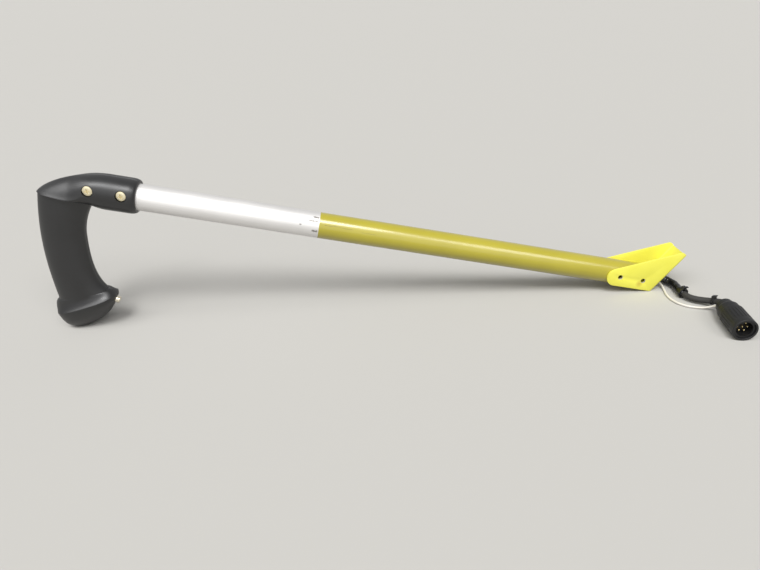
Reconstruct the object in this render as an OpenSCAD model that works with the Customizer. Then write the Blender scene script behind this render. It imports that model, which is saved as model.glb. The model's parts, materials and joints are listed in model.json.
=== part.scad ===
// Aircraft control stick: a clamshell hand grip on a round tube, with a folded foot bracket,
// a push button in the grip's pommel, and a short pigtail that ends in a round multi-pin plug.
// Lengths are in millimetres. The stick is drawn with its tube along +X, the end face of the
// grip head at x = 0, and then stood on its pommel and on the two heels of the foot bracket.

/* [Tube] */
// Outside diameter of the tube
tube_d = 25.4; // [22:0.1:28]
// Wall of the tube
tube_wall = 1.65; // [1.2:0.05:2.4]
// Bare stretch that slides in a bearing, from the grip head to the edge of the paint
bare_len = 170; // [120:1:240]
// Length of tube held inside the grip head
socket_len = 50; // [46:1:54]
// From the grip head to the nearer foot bolt hole
hole_reach = 484; // [400:1:560]

/* [Foot bracket] */
// Thickness of the folded sheet
sheet = 1.8; // [1.2:0.1:2.4]
// Diameter of the two foot bolt holes
bolt_d = 4.9; // [4:0.1:6.4]
// Distance between the foot bolt holes
bolt_pitch = 25.4; // [22:0.1:32]
// Depth of the flats on the tube that seat the cheeks
flat_depth = 0.3; // [0.1:0.05:0.4]
// From the far bolt hole to the end of the tube, along the axis
tube_margin = 8; // [6:0.5:12]
// Gap between the end of the tube and the web, along the axis
web_gap = 9; // [7:0.5:14]
// Angle of the web to the tube
web_angle = 65; // [58:1:70]
// Angle of the cheek's upper edge to the tube
upper_angle = 25; // [20:1:28]
// Radius of the cheek's round nose
nose_r = 9.3; // [8:0.1:10.5]
// Centre of the nose, ahead of the nearer bolt hole
nose_ahead = 4.4; // [2:0.1:8]
// Lower edge of the cheek, below the tube's axis
cheek_drop = 10.3; // [9:0.1:11]
// Corner radius at the heel
heel_r = 2; // [1:0.1:3]
// Corner radius at the upper tip
tip_r = 4; // [2.5:0.1:6]
// Outside radius of the two folds
bend_r = 3; // [2.6:0.1:5]
// Leg of the weld fillet between cheek and tube
weld_leg = 5; // [3.5:0.1:5.5]
// Centre of the grommet above the tube's axis, along the web
web_hole_up = 3; // [0:0.5:6]

/* [Grommet] */
// Hole in the web that the grommet sits in
grommet_seat_d = 14; // [13:0.1:15]
// Bore of the grommet
grommet_bore = 11.6; // [11.4:0.1:12.2]
// Outside diameter of the grommet's lips
grommet_d = 17; // [16:0.1:18]
// Thickness of each lip
grommet_lip = 1.4; // [1:0.1:2]

/* [Grip head] */
// End face to tail
head_len = 91; // [86:0.5:98]
// Wall of the head's sides over the tube, at the screws
side_wall = 4.3; // [4:0.1:6]
// Wall of the head's back over the tube
back_wall = 3.9; // [3:0.1:6]
// Wall of the head's end face round the tube
end_wall = 1.6; // [1.6:0.1:2.8]
// Length of the rounding behind the end face
head_rim = 7; // [4:0.5:10]
// Straight stretch of the head before its back falls to the tail
head_straight = 28; // [24:0.5:34]
// Tail and crease below the tube's axis
tail_drop = 9; // [7:0.1:11]

/* [Grip neck] */
// Fore and aft depth of the neck where it leaves the head
neck_d = 39.5; // [36:0.5:43]
// Thickness of the neck
neck_w = 24.4; // [24:0.1:29]

/* [Pommel] */
// Centre of the pommel behind the head's end face
pommel_back = 48; // [42:0.5:54]
// Centre of the pommel below the tube's axis
pommel_drop = 118; // [108:0.5:130]
// Angle of the pommel's rim to the tube
pommel_angle = 33.6; // [28:0.1:38]
// Length of the pommel along its rim
pommel_len = 63; // [60:0.5:70]
// Width of the pommel
pommel_w = 34; // [33:0.1:40]
// Depth of the pommel's dome below its rim
pommel_depth = 23; // [21:0.1:27]

/* [Grip screws] */
// Shank of the grip screws
screw_d = 4.1; // [3.5:0.1:4.5]
// Head of the grip screws
screw_head_d = 9.4; // [8.5:0.1:10]
// Height of the screw head
screw_head_h = 2.3; // [2:0.1:2.6]
// Height of the screws above the tube's axis
screw_up = 4; // [3:0.1:5]
// First screw behind the head's end face
screw_back = 11.7; // [10:0.1:14]
// Distance between the screws
screw_pitch = 29.2; // [26:0.1:31]
// Outside diameter of the threaded inserts
insert_d = 6.4; // [6:0.1:7]
// Length of the threaded inserts
insert_len = 2.4; // [2:0.1:3]

/* [Button] */
// Diameter of the button
button_d = 7; // [6:0.1:8]
// Height of the button above the pommel
button_out = 4.6; // [3.5:0.1:6]
// Travel of the button
button_travel = 1.8; // [1:0.1:2.2]
// Button below the pommel's rim
button_drop = 9; // [7:0.1:11]
// Angle of the button's axis below the tube's direction
button_dip = 18; // [10:1:26]
// Skin in front of the switch
button_skin = 3; // [2.4:0.1:4]
// Outside diameter of the switch's bushing
bushing_d = 11.9; // [11:0.1:12.4]
// Length of the switch's bushing
bushing_len = 6; // [5:0.1:7]
// Outside diameter of the switch's body
switch_d = 13; // [12.6:0.1:14]
// Length of the switch's body
switch_len = 12.5; // [11.5:0.1:14]

/* [Wiring] */
// Diameter of the wire way through the neck
way_d = 11; // [9:0.5:12]
// Diameter of the cable inside the tube
harness_d = 5; // [4:0.1:6]
// Diameter of the pigtail cable
cable_d = 6; // [5:0.1:6.2]
// Outside diameter of the shrink sleeve at the web
sleeve_d = 8.4; // [7.6:0.1:8.6]
// Diameter of the loose white wire
wire_d = 2.4; // [2:0.1:2.6]
// Width of a cable tie
tie_w = 2.6; // [2:0.1:3.6]
// Thickness of a cable tie
tie_t = 1.1; // [0.8:0.1:1.2]

/* [Plug] */
// Outside diameter of the coupling ring
ring_d = 22; // [21:0.1:24]
// Length of the coupling ring
ring_len = 28; // [24:0.5:32]
// Wall of the coupling ring
ring_wall = 1.9; // [1.5:0.1:2.2]
// Inside diameter of the plug's body
plug_bore = 14.6; // [14:0.1:15]
// Length of the end bell behind the ring
bell_len = 17; // [15:0.5:20]
// Diameter of the end bell at its mouth
bell_mouth_d = 15.6; // [15:0.1:16.4]
// Diameter of the contacts
contact_d = 1.6; // [1.2:0.1:2]
// Contacts in the ring round the middle one
contact_count = 6; // [5:1:7]
// Radius of that ring
contact_r = 4.4; // [3.8:0.1:5]

/* [Hidden] */

$fn = 64;
// Clearances: turning and sliding pieces, pieces dropped into a seat, free holes and moulded-in pieces
running = 0.08;
seat_gap = 0.1;
hole_gap = 0.2;
press_gap = 0.02;
// A cut runs past the face that it opens by this much
past = 1;

// Small functions
function ease(u) = u * u * (3 - 2 * u);
function unit_range(u) = min(1, max(0, u));
function mix(a, b, t) = a + (b - a) * t;
function bezier(p, t) =
    pow(1 - t, 3) * p[0] + 3 * t * pow(1 - t, 2) * p[1] + 3 * t * t * (1 - t) * p[2] + pow(t, 3) * p[3];
function signed_pow(v, e) = sign(v) * pow(abs(v), e);
function flat(lists) = [for (l = lists) for (v = l) v];
function mean(points) = [for (k = [0:2]) [for (p = points) p[k]] * [for (p = points) 1] / len(points)];
// Where two lines n . p = k cross
function crossing(n1, k1, n2, k2) =
    let (det = n1[0] * n2[1] - n1[1] * n2[0])
    [(k1 * n2[1] - k2 * n1[1]) / det, (n1[0] * k2 - n2[0] * k1) / det];
// Outer tangent points of two circles that an outline passes anticlockwise
function tangent_pair(c1, r1, c2, r2) =
    let (
        gap = norm(c2 - c1),
        along = (c2 - c1) / gap,
        lean = (r1 - r2) / gap,
        out = along * lean + [along[1], -along[0]] * sqrt(1 - lean * lean)
    )
    [c1 + out * r1, c2 + out * r2];

// Tube and foot bracket along the axis
tube_r = tube_d / 2;
bore_r = tube_r - tube_wall;
far_hole = hole_reach + bolt_pitch;
tube_end = far_hole + tube_margin;
web_out = tube_end + web_gap + sheet / sin(web_angle);
cheek_in = tube_d - 2 * flat_depth;
cheek_out = cheek_in + 2 * sheet;
web_along = [cos(web_angle), sin(web_angle)];
web_normal = [sin(web_angle), -cos(web_angle)];
upper_normal = [-sin(upper_angle), cos(upper_angle)];
nose_c = [hole_reach - nose_ahead, nose_r - cheek_drop];
heel_c = crossing([0, 1], heel_r - cheek_drop, web_normal, web_normal[0] * web_out - heel_r);
tip_c = crossing(upper_normal, upper_normal * nose_c + nose_r - tip_r,
                 web_normal, web_normal[0] * web_out - tip_r);
web_hole = [web_out, 0] + web_along * web_hole_up;

// Pommel frame in the stick's plane: along the rim, and down from the rim into the dome
rim_along = [cos(pommel_angle), sin(pommel_angle)];
rim_down = [sin(pommel_angle), -cos(pommel_angle)];
pommel_c = [-pommel_back, -pommel_drop];
// The rim's widest line lies this far below its centre line, and the dome's centre drifts back
rim_drop = 2;
rim_shift = -4;
dome_drift = 9;
dome_drift_power = 1.3;
dome_power = 2.2;
function dome_scale(t) = pow(1 - pow(t, dome_power), 1 / dome_power);
function dome_centre(t) =
    pommel_c + rim_along * (rim_shift - dome_drift * pow(t, dome_drift_power))
    + rim_down * (rim_drop + pommel_depth * t);

// Neck: palm and finger edges as curves in the stick's plane. It starts inside the head, the palm edge just
// under the tail, and flares at last to end just inside the pommel's rim.
rim_step = 1;
flare_len = pommel_len / 2 - rim_step;
flare_half = pommel_w / 2 - rim_step / 2;
flare_power = 10;
rim_mid = pommel_c + rim_along * rim_shift - rim_down * rim_step;
neck_top = -2;
palm_edge = [[1.2 - head_len, 0.4 - tail_drop], [0.8 - head_len, -0.5 * pommel_drop],
             [3 - head_len, -0.86 * pommel_drop], rim_mid - rim_along * flare_len];
finger_edge = [[neck_d - head_len, neck_top], [neck_d - head_len - 0.5, -0.42 * pommel_drop],
               [neck_d - head_len + 3.5, -0.88 * pommel_drop], rim_mid + rim_along * flare_len];
function neck_half(t) = mix(neck_w / 2, flare_half, pow(t, flare_power));
function neck_axis(t) = (bezier(palm_edge, t) + bezier(finger_edge, t)) / 2;
function in_plane(p, y = 0) = [p[0], y, p[1]];

// One closed ring of the neck or the dome
ring_sides = 28;
neck_power = 2.3;
function oval(c, along, a, b, power) =
    [for (k = [0:ring_sides - 1])
        let (
            turn = 360 * (k + 0.5) / ring_sides,
            u = signed_pow(cos(turn), 2 / power),
            v = signed_pow(sin(turn), 2 / power)
        )
        in_plane(c + along * (a * u), b * v)];
function neck_ring(t) =
    let (
        palm = bezier(palm_edge, t),
        finger = bezier(finger_edge, t),
        span = norm(finger - palm)
    )
    oval((palm + finger) / 2, (finger - palm) / span, span / 2, neck_half(t), neck_power);
function dome_ring(t) =
    let (share = dome_scale(t))
    oval(dome_centre(t), rim_along, pommel_len / 2 * share, pommel_w / 2 * share, neck_power);
neck_steps = [0, 0.12, 0.25, 0.38, 0.5, 0.6, 0.7, 0.78, 0.85, 0.9, 0.94, 0.975, 1];
dome_steps = [0, 0.16, 0.32, 0.47, 0.61, 0.73, 0.83, 0.91, 0.965, 0.992];
neck_rings = concat([for (t = neck_steps) neck_ring(t)], [for (t = dome_steps) dome_ring(t)]);

// Head: back, belly and half width at a distance along the tube
head_end_r = tube_r + end_wall;
head_up = tube_r + back_wall;
head_w = tube_d + 2 * side_wall;
// Belly settles from the round stretch to the tail's height over this length
belly_len = 34;
// Width starts to draw in to the tail here, and the widest line sinks to the crease over this length
head_taper = 40;
crease_len = 22;
crease_rise = 2;
// Powers of the back's fall and the draw to the tail, and of the upper half and the lower edge at the round
// stretch and at the tail
fall_power = 1.75;
fall_round = 0.75;
taper_power = 2.4;
crown_power = [2.1, 1.8];
crease_power = [2, 2.6];
function rim_share(x) = x < -head_rim ? 1 : sqrt(max(0, 1 - pow((x + head_rim) / head_rim, 2)));
function tail_share(x) = unit_range((-head_straight - x) / (head_len - head_straight));
function head_top(x) =
    x > -head_straight ? mix(head_end_r, head_up, rim_share(x))
    : mix(-tail_drop, head_up, pow(1 - pow(tail_share(x), fall_power), fall_round));
function head_low(x) =
    let (settle = ease(unit_range((-head_straight - x) / belly_len)))
    x > -head_straight ? -mix(head_end_r, head_up, rim_share(x))
    : mix(-head_up, -tail_drop, settle);
function head_half(x) =
    let (draw = unit_range((-head_taper - x) / (head_len - head_taper)))
    mix(head_end_r, head_w / 2, rim_share(x)) * sqrt(1 - pow(draw, taper_power));
// Towards the tail the sides slope like a roof down to the crease over the neck
function head_ring(x) =
    let (
        top = head_top(x),
        low = head_low(x),
        sunk = ease(unit_range((-head_taper - x) / crease_len)),
        half_high = (top - low) / 2,
        widest = low + mix(half_high, min(crease_rise, half_high), sunk),
        crown = mix(crown_power[0], crown_power[1], sunk),
        edge = mix(crease_power[0], crease_power[1], sunk)
    )
    [for (k = [0:ring_sides - 1])
        let (
            turn = 360 * (k + 0.5) / ring_sides,
            power = sin(turn) < 0 ? edge : crown,
            high = sin(turn) < 0 ? widest - low : top - widest,
            across = signed_pow(cos(turn), 2 / power),
            upward = signed_pow(sin(turn), 2 / power)
        )
        [x, head_half(x) * across, widest + high * upward]];
head_steps = [0, 0.01, 0.028, 0.05, 0.077, 0.18, 0.31, 0.38, 0.45, 0.52, 0.6, 0.68, 0.76, 0.84, 0.9, 0.95,
              0.985, 0.998];
head_rings = [for (s = head_steps) head_ring(-head_len * s)];

// Closed solid through rings of equal count, each end closed by a fan
module loft(rings) {
    sides = len(rings[0]);
    last = len(rings) - 1;
    start_mid = sides * len(rings);
    points = concat(flat(rings), [mean(rings[0]), mean(rings[last])]);
    walls = [for (i = [0:last - 1]) for (k = [0:sides - 1])
        let (
            a = i * sides + k,
            b = i * sides + (k + 1) % sides
        )
        each [[a, b, b + sides], [a, b + sides, a + sides]]];
    start_fan = [for (k = [0:sides - 1]) [start_mid, (k + 1) % sides, k]];
    end_fan = [for (k = [0:sides - 1])
        [start_mid + 1, last * sides + k, last * sides + (k + 1) % sides]];
    polyhedron(points, concat(walls, start_fan, end_fan), convexity = 6);
}

// Round tube swept along route points. The route never runs along ref, which keeps it free of twist.
upright = [0, 0, 1];
sideways = [0, 1, 0];
function route_dir(route, i) =
    let (
        before = route[max(0, i - 1)],
        after = route[min(len(route) - 1, i + 1)]
    )
    (after - before) / norm(after - before);
function route_ring(route, i, r, sides, ref) =
    let (
        dir = route_dir(route, i),
        side_raw = cross(dir, ref),
        side = side_raw / norm(side_raw),
        up = cross(side, dir)
    )
    [for (k = [0:sides - 1])
        let (turn = 360 * (k + 0.5) / sides)
        route[i] + side * (r * cos(turn)) + up * (r * sin(turn))];
module sweep(route, d, sides, ref) {
    loft([for (i = [0:len(route) - 1]) route_ring(route, i, d / 2, sides, ref)]);
}

// How the stick stands: the floor line touches the pommel's dome and the heel's corner
dome_points = flat([for (t = dome_steps) dome_ring(t)]);
tilt = max([for (p = dome_points)
    let (to_heel = heel_c - [p[0], p[2]])
    atan2(to_heel[1], to_heel[0]) - asin(heel_r / norm(to_heel))]);
lift = heel_c[0] * sin(tilt) - heel_c[1] * cos(tilt) + heel_r;
function stood_x(x, z) = x * cos(tilt) + z * sin(tilt);
grip_min = min([for (p = flat(neck_rings)) stood_x(p[0], p[2])]);
mid_x = (grip_min + stood_x(tip_c[0], tip_c[1]) + tip_r) / 2;
function stood(p) = [stood_x(p[0], p[2]) - mid_x, p[1], p[2] * cos(tilt) - p[0] * sin(tilt) + lift];
module stand() {
    translate([-mid_x, 0, lift])
        rotate([0, tilt, 0])
            children();
}

// Button frame: +X of the children points out of the pommel along the button's axis
button_t = button_drop / pommel_depth;
button_skin_point = dome_centre(button_t) + rim_along * (pommel_len / 2 * dome_scale(button_t));
module at_button() {
    translate(in_plane(button_skin_point))
        rotate([0, button_dip, 0])
            children();
}
function button_point(x, y = 0) =
    in_plane(button_skin_point + [cos(button_dip), -sin(button_dip)] * x, y);
module on_x(x, d, h) {
    translate([x, 0, 0])
        rotate([0, 90, 0])
            cylinder(d = d, h = h);
}
bushing_face = -button_skin;
switch_front = bushing_face - bushing_len;
switch_back = switch_front - switch_len;
terminal_len = 5;
pocket_back = switch_back - terminal_len - 1;

// Wire way: up the neck, round an elbow in the head and into the tube
harness_low = -3;
elbow_low = neck_axis(0.16);
elbow_end = [-socket_len, harness_low];
function elbow(turn) =
    [mix(elbow_low[0], elbow_end[0], 1 - cos(turn)), mix(elbow_low[1], elbow_end[1], sin(turn))];
way = concat([button_point(pocket_back + 4)],
             [for (t = [0.86, 0.76, 0.66, 0.56, 0.46, 0.36, 0.26]) in_plane(neck_axis(t))],
             [for (a = [0:22.5:90]) in_plane(elbow(a))],
             [in_plane(elbow_end + [4, 0])]);

// Grip screws stand across the head
screw_x = [-screw_back, -screw_back - screw_pitch];
// Wall under the screw heads, and how far the screws stop short of the inserts' ends
seat_wall = 1.2;
screw_short = 0.4;
screw_seat = tube_r + seat_wall;
insert_start = tube_r + seat_gap;
module across(x, z, y, d, h) {
    translate([x, y, z])
        rotate([-90, 0, 0])
            cylinder(d = d, h = h);
}
screw_hole_d = screw_d + 2 * hole_gap;
counterbore_d = screw_head_d + 4 * hole_gap;

// Grip halves
half_reach = head_len + pommel_drop;
module grip_solid() {
    loft(head_rings);
    loft(neck_rings);
}
module grip_hollows() {
    on_x(-socket_len - seat_gap, tube_d + 2 * seat_gap, socket_len + past);
    on_x(-socket_len - bush_lip - seat_gap, bush_lip_d + 2 * seat_gap, bush_lip + past);
    sweep(way, way_d, 12, sideways);
    at_button() {
        on_x(-button_skin - past, button_d + 2 * hole_gap, button_skin + 4 * past);
        on_x(switch_front - past, bushing_d + 2 * seat_gap, bushing_len + past);
        on_x(pocket_back, switch_d + 2 * seat_gap, switch_front - pocket_back);
    }
    for (x = screw_x)
        across(x, screw_up, -head_w, screw_hole_d, head_w + insert_start);
    for (x = screw_x)
        across(x, screw_up, -head_w, counterbore_d, head_w - screw_seat);
    for (x = screw_x)
        across(x, screw_up, 0, insert_d, insert_start + insert_len);
}
module grip_half(side) {
    difference() {
        grip_solid();
        translate([-half_reach, side > 0 ? -half_reach : 0, -half_reach])
            cube([2 * half_reach, half_reach, 2 * half_reach]);
        grip_hollows();
    }
}
module grip_near_half() {
    color("#2b2b2d")
        stand()
            grip_half(-1);
}
module grip_far_half() {
    color("#2b2b2d")
        stand()
            grip_half(1);
}

module grip_screws() {
    recess_depth = 0.9;
    recess_w = 1;
    recess_turn = 20;
    color("#d9cfae")
        stand()
            for (x = screw_x)
                difference() {
                    union() {
                        across(x, screw_up, -screw_seat - screw_head_h, screw_head_d, screw_head_h);
                        across(x, screw_up, -screw_seat, screw_d,
                               screw_seat + insert_start + insert_len - screw_short);
                    }
                    for (turn = [0, 90])
                        translate([x, -screw_seat - screw_head_h, screw_up])
                            rotate([0, turn + recess_turn, 0])
                                cube([screw_head_d / 2, 2 * recess_depth, recess_w], center = true);
                }
}
module thread_inserts() {
    color("#b58a3c")
        stand()
            for (x = screw_x)
                difference() {
                    across(x, screw_up, insert_start, insert_d, insert_len);
                    across(x, screw_up, insert_start - past, screw_d, insert_len + 2 * past);
                }
}

// Tube: bare and painted stretches of one stock, cut at the web's angle, with flats for the cheeks
module tube_stretch(from, to) {
    difference() {
        on_x(from, tube_d, to - from);
        on_x(from - past, 2 * bore_r, to - from + 2 * past);
        translate([tube_end, 0, 0])
            rotate([0, 90 - web_angle, 0])
                translate([0, -tube_d, -2 * tube_d])
                    cube([4 * tube_d, 2 * tube_d, 4 * tube_d]);
        for (side = [-1, 1])
            translate([nose_c[0] - nose_r - past, (side - 1) / 2 * tube_d + side * cheek_in / 2, -tube_d])
                cube([tube_end, tube_d, 2 * tube_d]);
        for (x = screw_x)
            across(x, screw_up, -tube_d, screw_hole_d, 2 * tube_d);
        for (x = [hole_reach, far_hole])
            across(x, 0, -tube_d, bolt_d, 2 * tube_d);
    }
}
module tube() {
    stand() {
        color("#c9c6c2")
            tube_stretch(-socket_len, bare_len);
        color("#c8bb4a")
            tube_stretch(bare_len, tube_end + tube_d);
    }
}

// Edge bush in the tube's inner end
bush_lip = 1.6;
bush_wall = 1.4;
bush_lip_d = tube_d - 2 * bush_wall;
module tube_end_bush() {
    bush_len = 6;
    color("#3a3a3c")
        stand()
            difference() {
                union() {
                    on_x(-socket_len - bush_lip, bush_lip_d, bush_lip);
                    on_x(-socket_len, 2 * bore_r - 2 * seat_gap, bush_len);
                }
                on_x(-socket_len - 2 * bush_lip, 2 * (bore_r - bush_wall), bush_len + 4 * bush_lip);
                for (x = screw_x)
                    across(x, screw_up, -tube_d, screw_hole_d, 2 * tube_d);
            }
}

// Foot bracket: a folded channel trimmed to the cheek's outline
module cheek_outline() {
    circles = [[nose_c, nose_r], [heel_c, heel_r], [tip_c, tip_r]];
    polygon(flat([for (i = [0:2])
        let (next = circles[(i + 1) % 3])
        tangent_pair(circles[i][0], circles[i][1], next[0], next[1])]));
    for (c = circles)
        translate(c[0])
            circle(r = c[1]);
}
module channel_block(w, r, front) {
    leg = 2 * web_out;
    translate([-leg, -w / 2])
        square([leg + front - r, w]);
    translate([front - 2 * r, r - w / 2])
        square([2 * r, w - 2 * r]);
    for (side = [-1, 1])
        translate([front - r, side * (w / 2 - r)])
            circle(r = r);
}
module at_web() {
    translate([web_out, 0, 0])
        rotate([0, 90 - web_angle, 0])
            children();
}
module foot_bracket() {
    tall = 120;
    color("#e6e04a")
        stand()
            difference() {
                intersection() {
                    rotate([90, 0, 0])
                        linear_extrude(cheek_out + 2 * past, center = true)
                            cheek_outline();
                    at_web()
                        linear_extrude(tall, center = true)
                            difference() {
                                channel_block(cheek_out, bend_r, 0);
                                channel_block(cheek_in, bend_r - sheet, -sheet);
                            }
                }
                for (x = [hole_reach, far_hole])
                    across(x, 0, -cheek_out, bolt_d, 2 * cheek_out);
                at_web()
                    translate([0, 0, web_hole_up])
                        on_x(-2 * sheet, grommet_seat_d, 4 * sheet);
            }
}

// Weld fillets between the cheeks and the tube, two on each side
module bracket_welds() {
    root = 3;
    from = hole_reach;
    to = tube_end - tube_r / tan(web_angle) - past;
    color("#d8cf45")
        stand()
            for (side = [-1, 1])
                for (level = [-1, 1])
                    mirrored(side, level)
                        difference() {
                            translate([from, 0, 0])
                                rotate([90, 0, 90])
                                    linear_extrude(to - from)
                                        polygon([[cheek_in / 2, root], [cheek_in / 2, root + weld_leg],
                                                 [cheek_in / 2 - weld_leg / 2, root + weld_leg],
                                                 [cheek_in / 2 - weld_leg / 2, root]]);
                            on_x(from - past, tube_d, to - from + 2 * past);
                        }
}
module mirrored(side, level) {
    mirror([0, side < 0 ? 1 : 0, 0])
        mirror([0, 0, level < 0 ? 1 : 0])
            children();
}

module web_grommet() {
    inner = -sheet - grommet_lip;
    color("#1c1c1c")
        stand()
            at_web()
                translate([0, 0, web_hole_up])
                    difference() {
                        union() {
                            on_x(inner, grommet_d, grommet_lip);
                            on_x(-sheet, grommet_seat_d, sheet);
                            on_x(0, grommet_d, grommet_lip);
                        }
                        on_x(inner - past, grommet_bore, -inner + grommet_lip + 2 * past);
                    }
}

// Push button: plunger, bushing, cup body, return spring, terminals and leads
flange_d = 9.4;
flange_h = 1.5;
flange_front = switch_front - running / 2;
cup_bore = flange_d + 3 * hole_gap;
spring_wire = 0.7;
spring_turns = 4;
spring_d = 7.6;
cup_floor = 3;
module button_plunger() {
    dome_h = 1;
    dome_r = pow(button_d, 2) / 8 / dome_h + dome_h / 2;
    color("#d8d2c4")
        stand()
            at_button() {
                on_x(flange_front, button_d, button_out - dome_h - flange_front);
                translate([button_out - dome_h, 0, 0])
                    rotate([0, 90, 0])
                        intersection() {
                            translate([0, 0, dome_h - dome_r])
                                sphere(r = dome_r);
                            cylinder(d = button_d, h = dome_h);
                        }
                on_x(flange_front - flange_h, flange_d, flange_h);
            }
}
module switch_bushing() {
    color("#8d8a84")
        stand()
            at_button()
                difference() {
                    on_x(switch_front, bushing_d, bushing_len);
                    on_x(switch_front - past, button_d + 2 * running, bushing_len + 2 * past);
                }
}
module switch_body() {
    color("#242424")
        stand()
            at_button()
                difference() {
                    on_x(switch_back, switch_d, switch_len);
                    on_x(switch_back + cup_floor, cup_bore, switch_len);
                }
}
module return_spring() {
    steps = 12 * spring_turns;
    rise = switch_len - cup_floor - flange_h - button_travel - spring_wire - 2 * hole_gap;
    start = switch_back + cup_floor + spring_wire / 2;
    coil = [for (i = [0:steps])
        let (turn = 360 * spring_turns * i / steps)
        [start + rise * i / steps, spring_d / 2 * cos(turn), spring_d / 2 * sin(turn)]];
    color("#b9b9bb")
        stand()
            at_button()
                sweep(coil, spring_wire, 6, [1, 0, 0]);
}
terminal_out = 2.6;
terminal_d = 1.4;
module switch_terminals() {
    color("#c9a24a")
        stand()
            at_button()
                for (side = [-1, 1])
                    translate([0, side * terminal_out, 0])
                        on_x(switch_back - terminal_len, terminal_d, terminal_len);
}
lead_d = 1.4;
harness_start = 0.7;
module switch_leads() {
    color("#d8d8d8")
        stand()
            for (side = [-1, 1])
                sweep([button_point(switch_back - terminal_len, side * terminal_out),
                       button_point(pocket_back - 1, side * terminal_out),
                       in_plane(neck_axis(0.84), side * 1.8),
                       in_plane(neck_axis(0.77), side * 1.2),
                       in_plane(neck_axis(harness_start), side * 1.2)], lead_d, 8, sideways);
}

// Cable inside the stick: up the neck, along the tube, over the foot bolts and out to the web
bolt_clear = 1.2;
over_bolts = bolt_d / 2 + bolt_clear;
harness_over = over_bolts + harness_d / 2;
wire_over = over_bolts + wire_d / 2;
wire_beside = harness_d / 2 + wire_d / 2 + 2 * hole_gap;
// The cable is up over the bolts this far ahead of them
rise_ahead = 20;
web_in = web_hole - web_normal * (sheet + grommet_lip + 1);
wire_gap = sleeve_d / 2 + wire_d / 2 + hole_gap;
// The sleeve and the wire below it lie centred in the grommet's bore
pair_shift = (wire_gap + wire_d / 2 - sleeve_d / 2) / 2;
sleeve_in = web_in + web_along * pair_shift;
wire_in = sleeve_in - web_along * wire_gap;
harness_route = concat([for (t = [harness_start:-0.09:0.2]) in_plane(neck_axis(t))],
                       [for (a = [0:22.5:90]) in_plane(elbow(a))],
                       [for (x = [-socket_len / 2, hole_reach / 3, 2 * hole_reach / 3])
                           [x, 0, harness_low]],
                       [[hole_reach - rise_ahead, 0, harness_over], [far_hole, 0, harness_over],
                        [tube_end - 2, 0, harness_over + 1], in_plane(sleeve_in - web_normal * 5),
                        in_plane(sleeve_in)]);
inner_wire = [[hole_reach - rise_ahead, -wire_beside, wire_over], [far_hole, -wire_beside, wire_over],
              [tube_end, -wire_beside / 2, wire_over - 1.2], in_plane(wire_in - web_normal * 3),
              in_plane(wire_in)];
module tube_harness() {
    color("#202020")
        stand() {
            sweep(harness_route, harness_d, 8, sideways);
            sweep(inner_wire, wire_d, 8, sideways);
        }
}

// Places on the floor are [ahead of the web hole, across, height]
web_hole_stood = stood(in_plane(web_hole));
function from_web(p) = [web_hole_stood[0] + p[0], p[1], p[2]];

// Plug on the floor: +X of the children runs from the end bell's mouth to the mating face
plug_mouth = from_web([34, -68, ring_d / 2]);
plug_turn = -98;
// The ring turns between the end bell and the body's step
ring_play = 0.3;
ring_lip = 3;
ring_start = bell_len + ring_play;
plug_len = ring_start + ring_len;
ring_bore = ring_d - 2 * ring_wall;
body_d = ring_bore - 2 * running;
body_neck_d = plug_bore + 2;
body_front = plug_len - 2;
thread_len = 4;
// Cable and white wire share the end bell's mouth in two holes of the bush, the wire lower and to the left
pair_turn = 45;
bush_web = 0.6;
wire_side = cable_d / 2 + wire_d / 2 + 2 * seat_gap + bush_web;
mouth_shift = (wire_side + wire_d / 2 - cable_d / 2) / 2;
cable_stop = bell_len - 8;
pair_dir = [-sin(plug_turn) * cos(pair_turn), cos(plug_turn) * cos(pair_turn), sin(pair_turn)];
function plug_at(x, off) = plug_mouth + x * [cos(plug_turn), sin(plug_turn), 0] + off * pair_dir;
module at_plug() {
    translate(plug_mouth)
        rotate([0, 0, plug_turn])
            children();
}
// Pigtail on the floor, along points chosen by hand
out_dir = [web_normal[0] * cos(tilt) + web_normal[1] * sin(tilt), 0,
           web_normal[1] * cos(tilt) - web_normal[0] * sin(tilt)];
sleeve_start = stood(in_plane(sleeve_in));
wire_start = stood(in_plane(wire_in));
sleeve_route = concat([sleeve_start, sleeve_start + out_dir * 7],
                      [for (p = [[7.2, -0.7, 7.5], [11.2, -3.1, 5.6], [14.2, -7.2, 4.8], [15.4, -12.6, 4.7],
                                 [14.8, -18.6, 4.8], [14, -24.4, 5.1], [14.2, -28.8, 5.2],
                                 [14.9, -33, 5.2]]) from_web(p)]);
cable_route = concat([for (p = [[14.9, -33, 5.2], [15.6, -37.2, 5.2], [17.5, -41, 5.2], [21.2, -44.5, 5.2],
                                [26.2, -47.6, 5.4], [30.8, -51.8, 6.6], [33.9, -57, 8.6],
                                [35.3, -62.6, 10.8]]) from_web(p)],
                     [plug_at(0, mouth_shift), plug_at(cable_stop, mouth_shift)]);
wire_route = concat([wire_start, wire_start + out_dir * 4.4],
                    [for (p = [[2, -2.2, 4.4], [4, -6.6, 3], [3.8, -12.5, 2], [2.4, -19.5, 1.4],
                               [1, -27, 1.3], [1, -35, 1.3], [3.6, -43, 1.3], [9, -49.6, 1.3],
                               [15.6, -53.4, 1.3], [21.4, -55.6, 1.6], [26.2, -57.8, 3],
                               [29.4, -60.6, 5.4], [31, -63.8, 7.5]]) from_web(p)],
                    [plug_at(0, mouth_shift - wire_side), plug_at(cable_stop, mouth_shift - wire_side)]);
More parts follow.
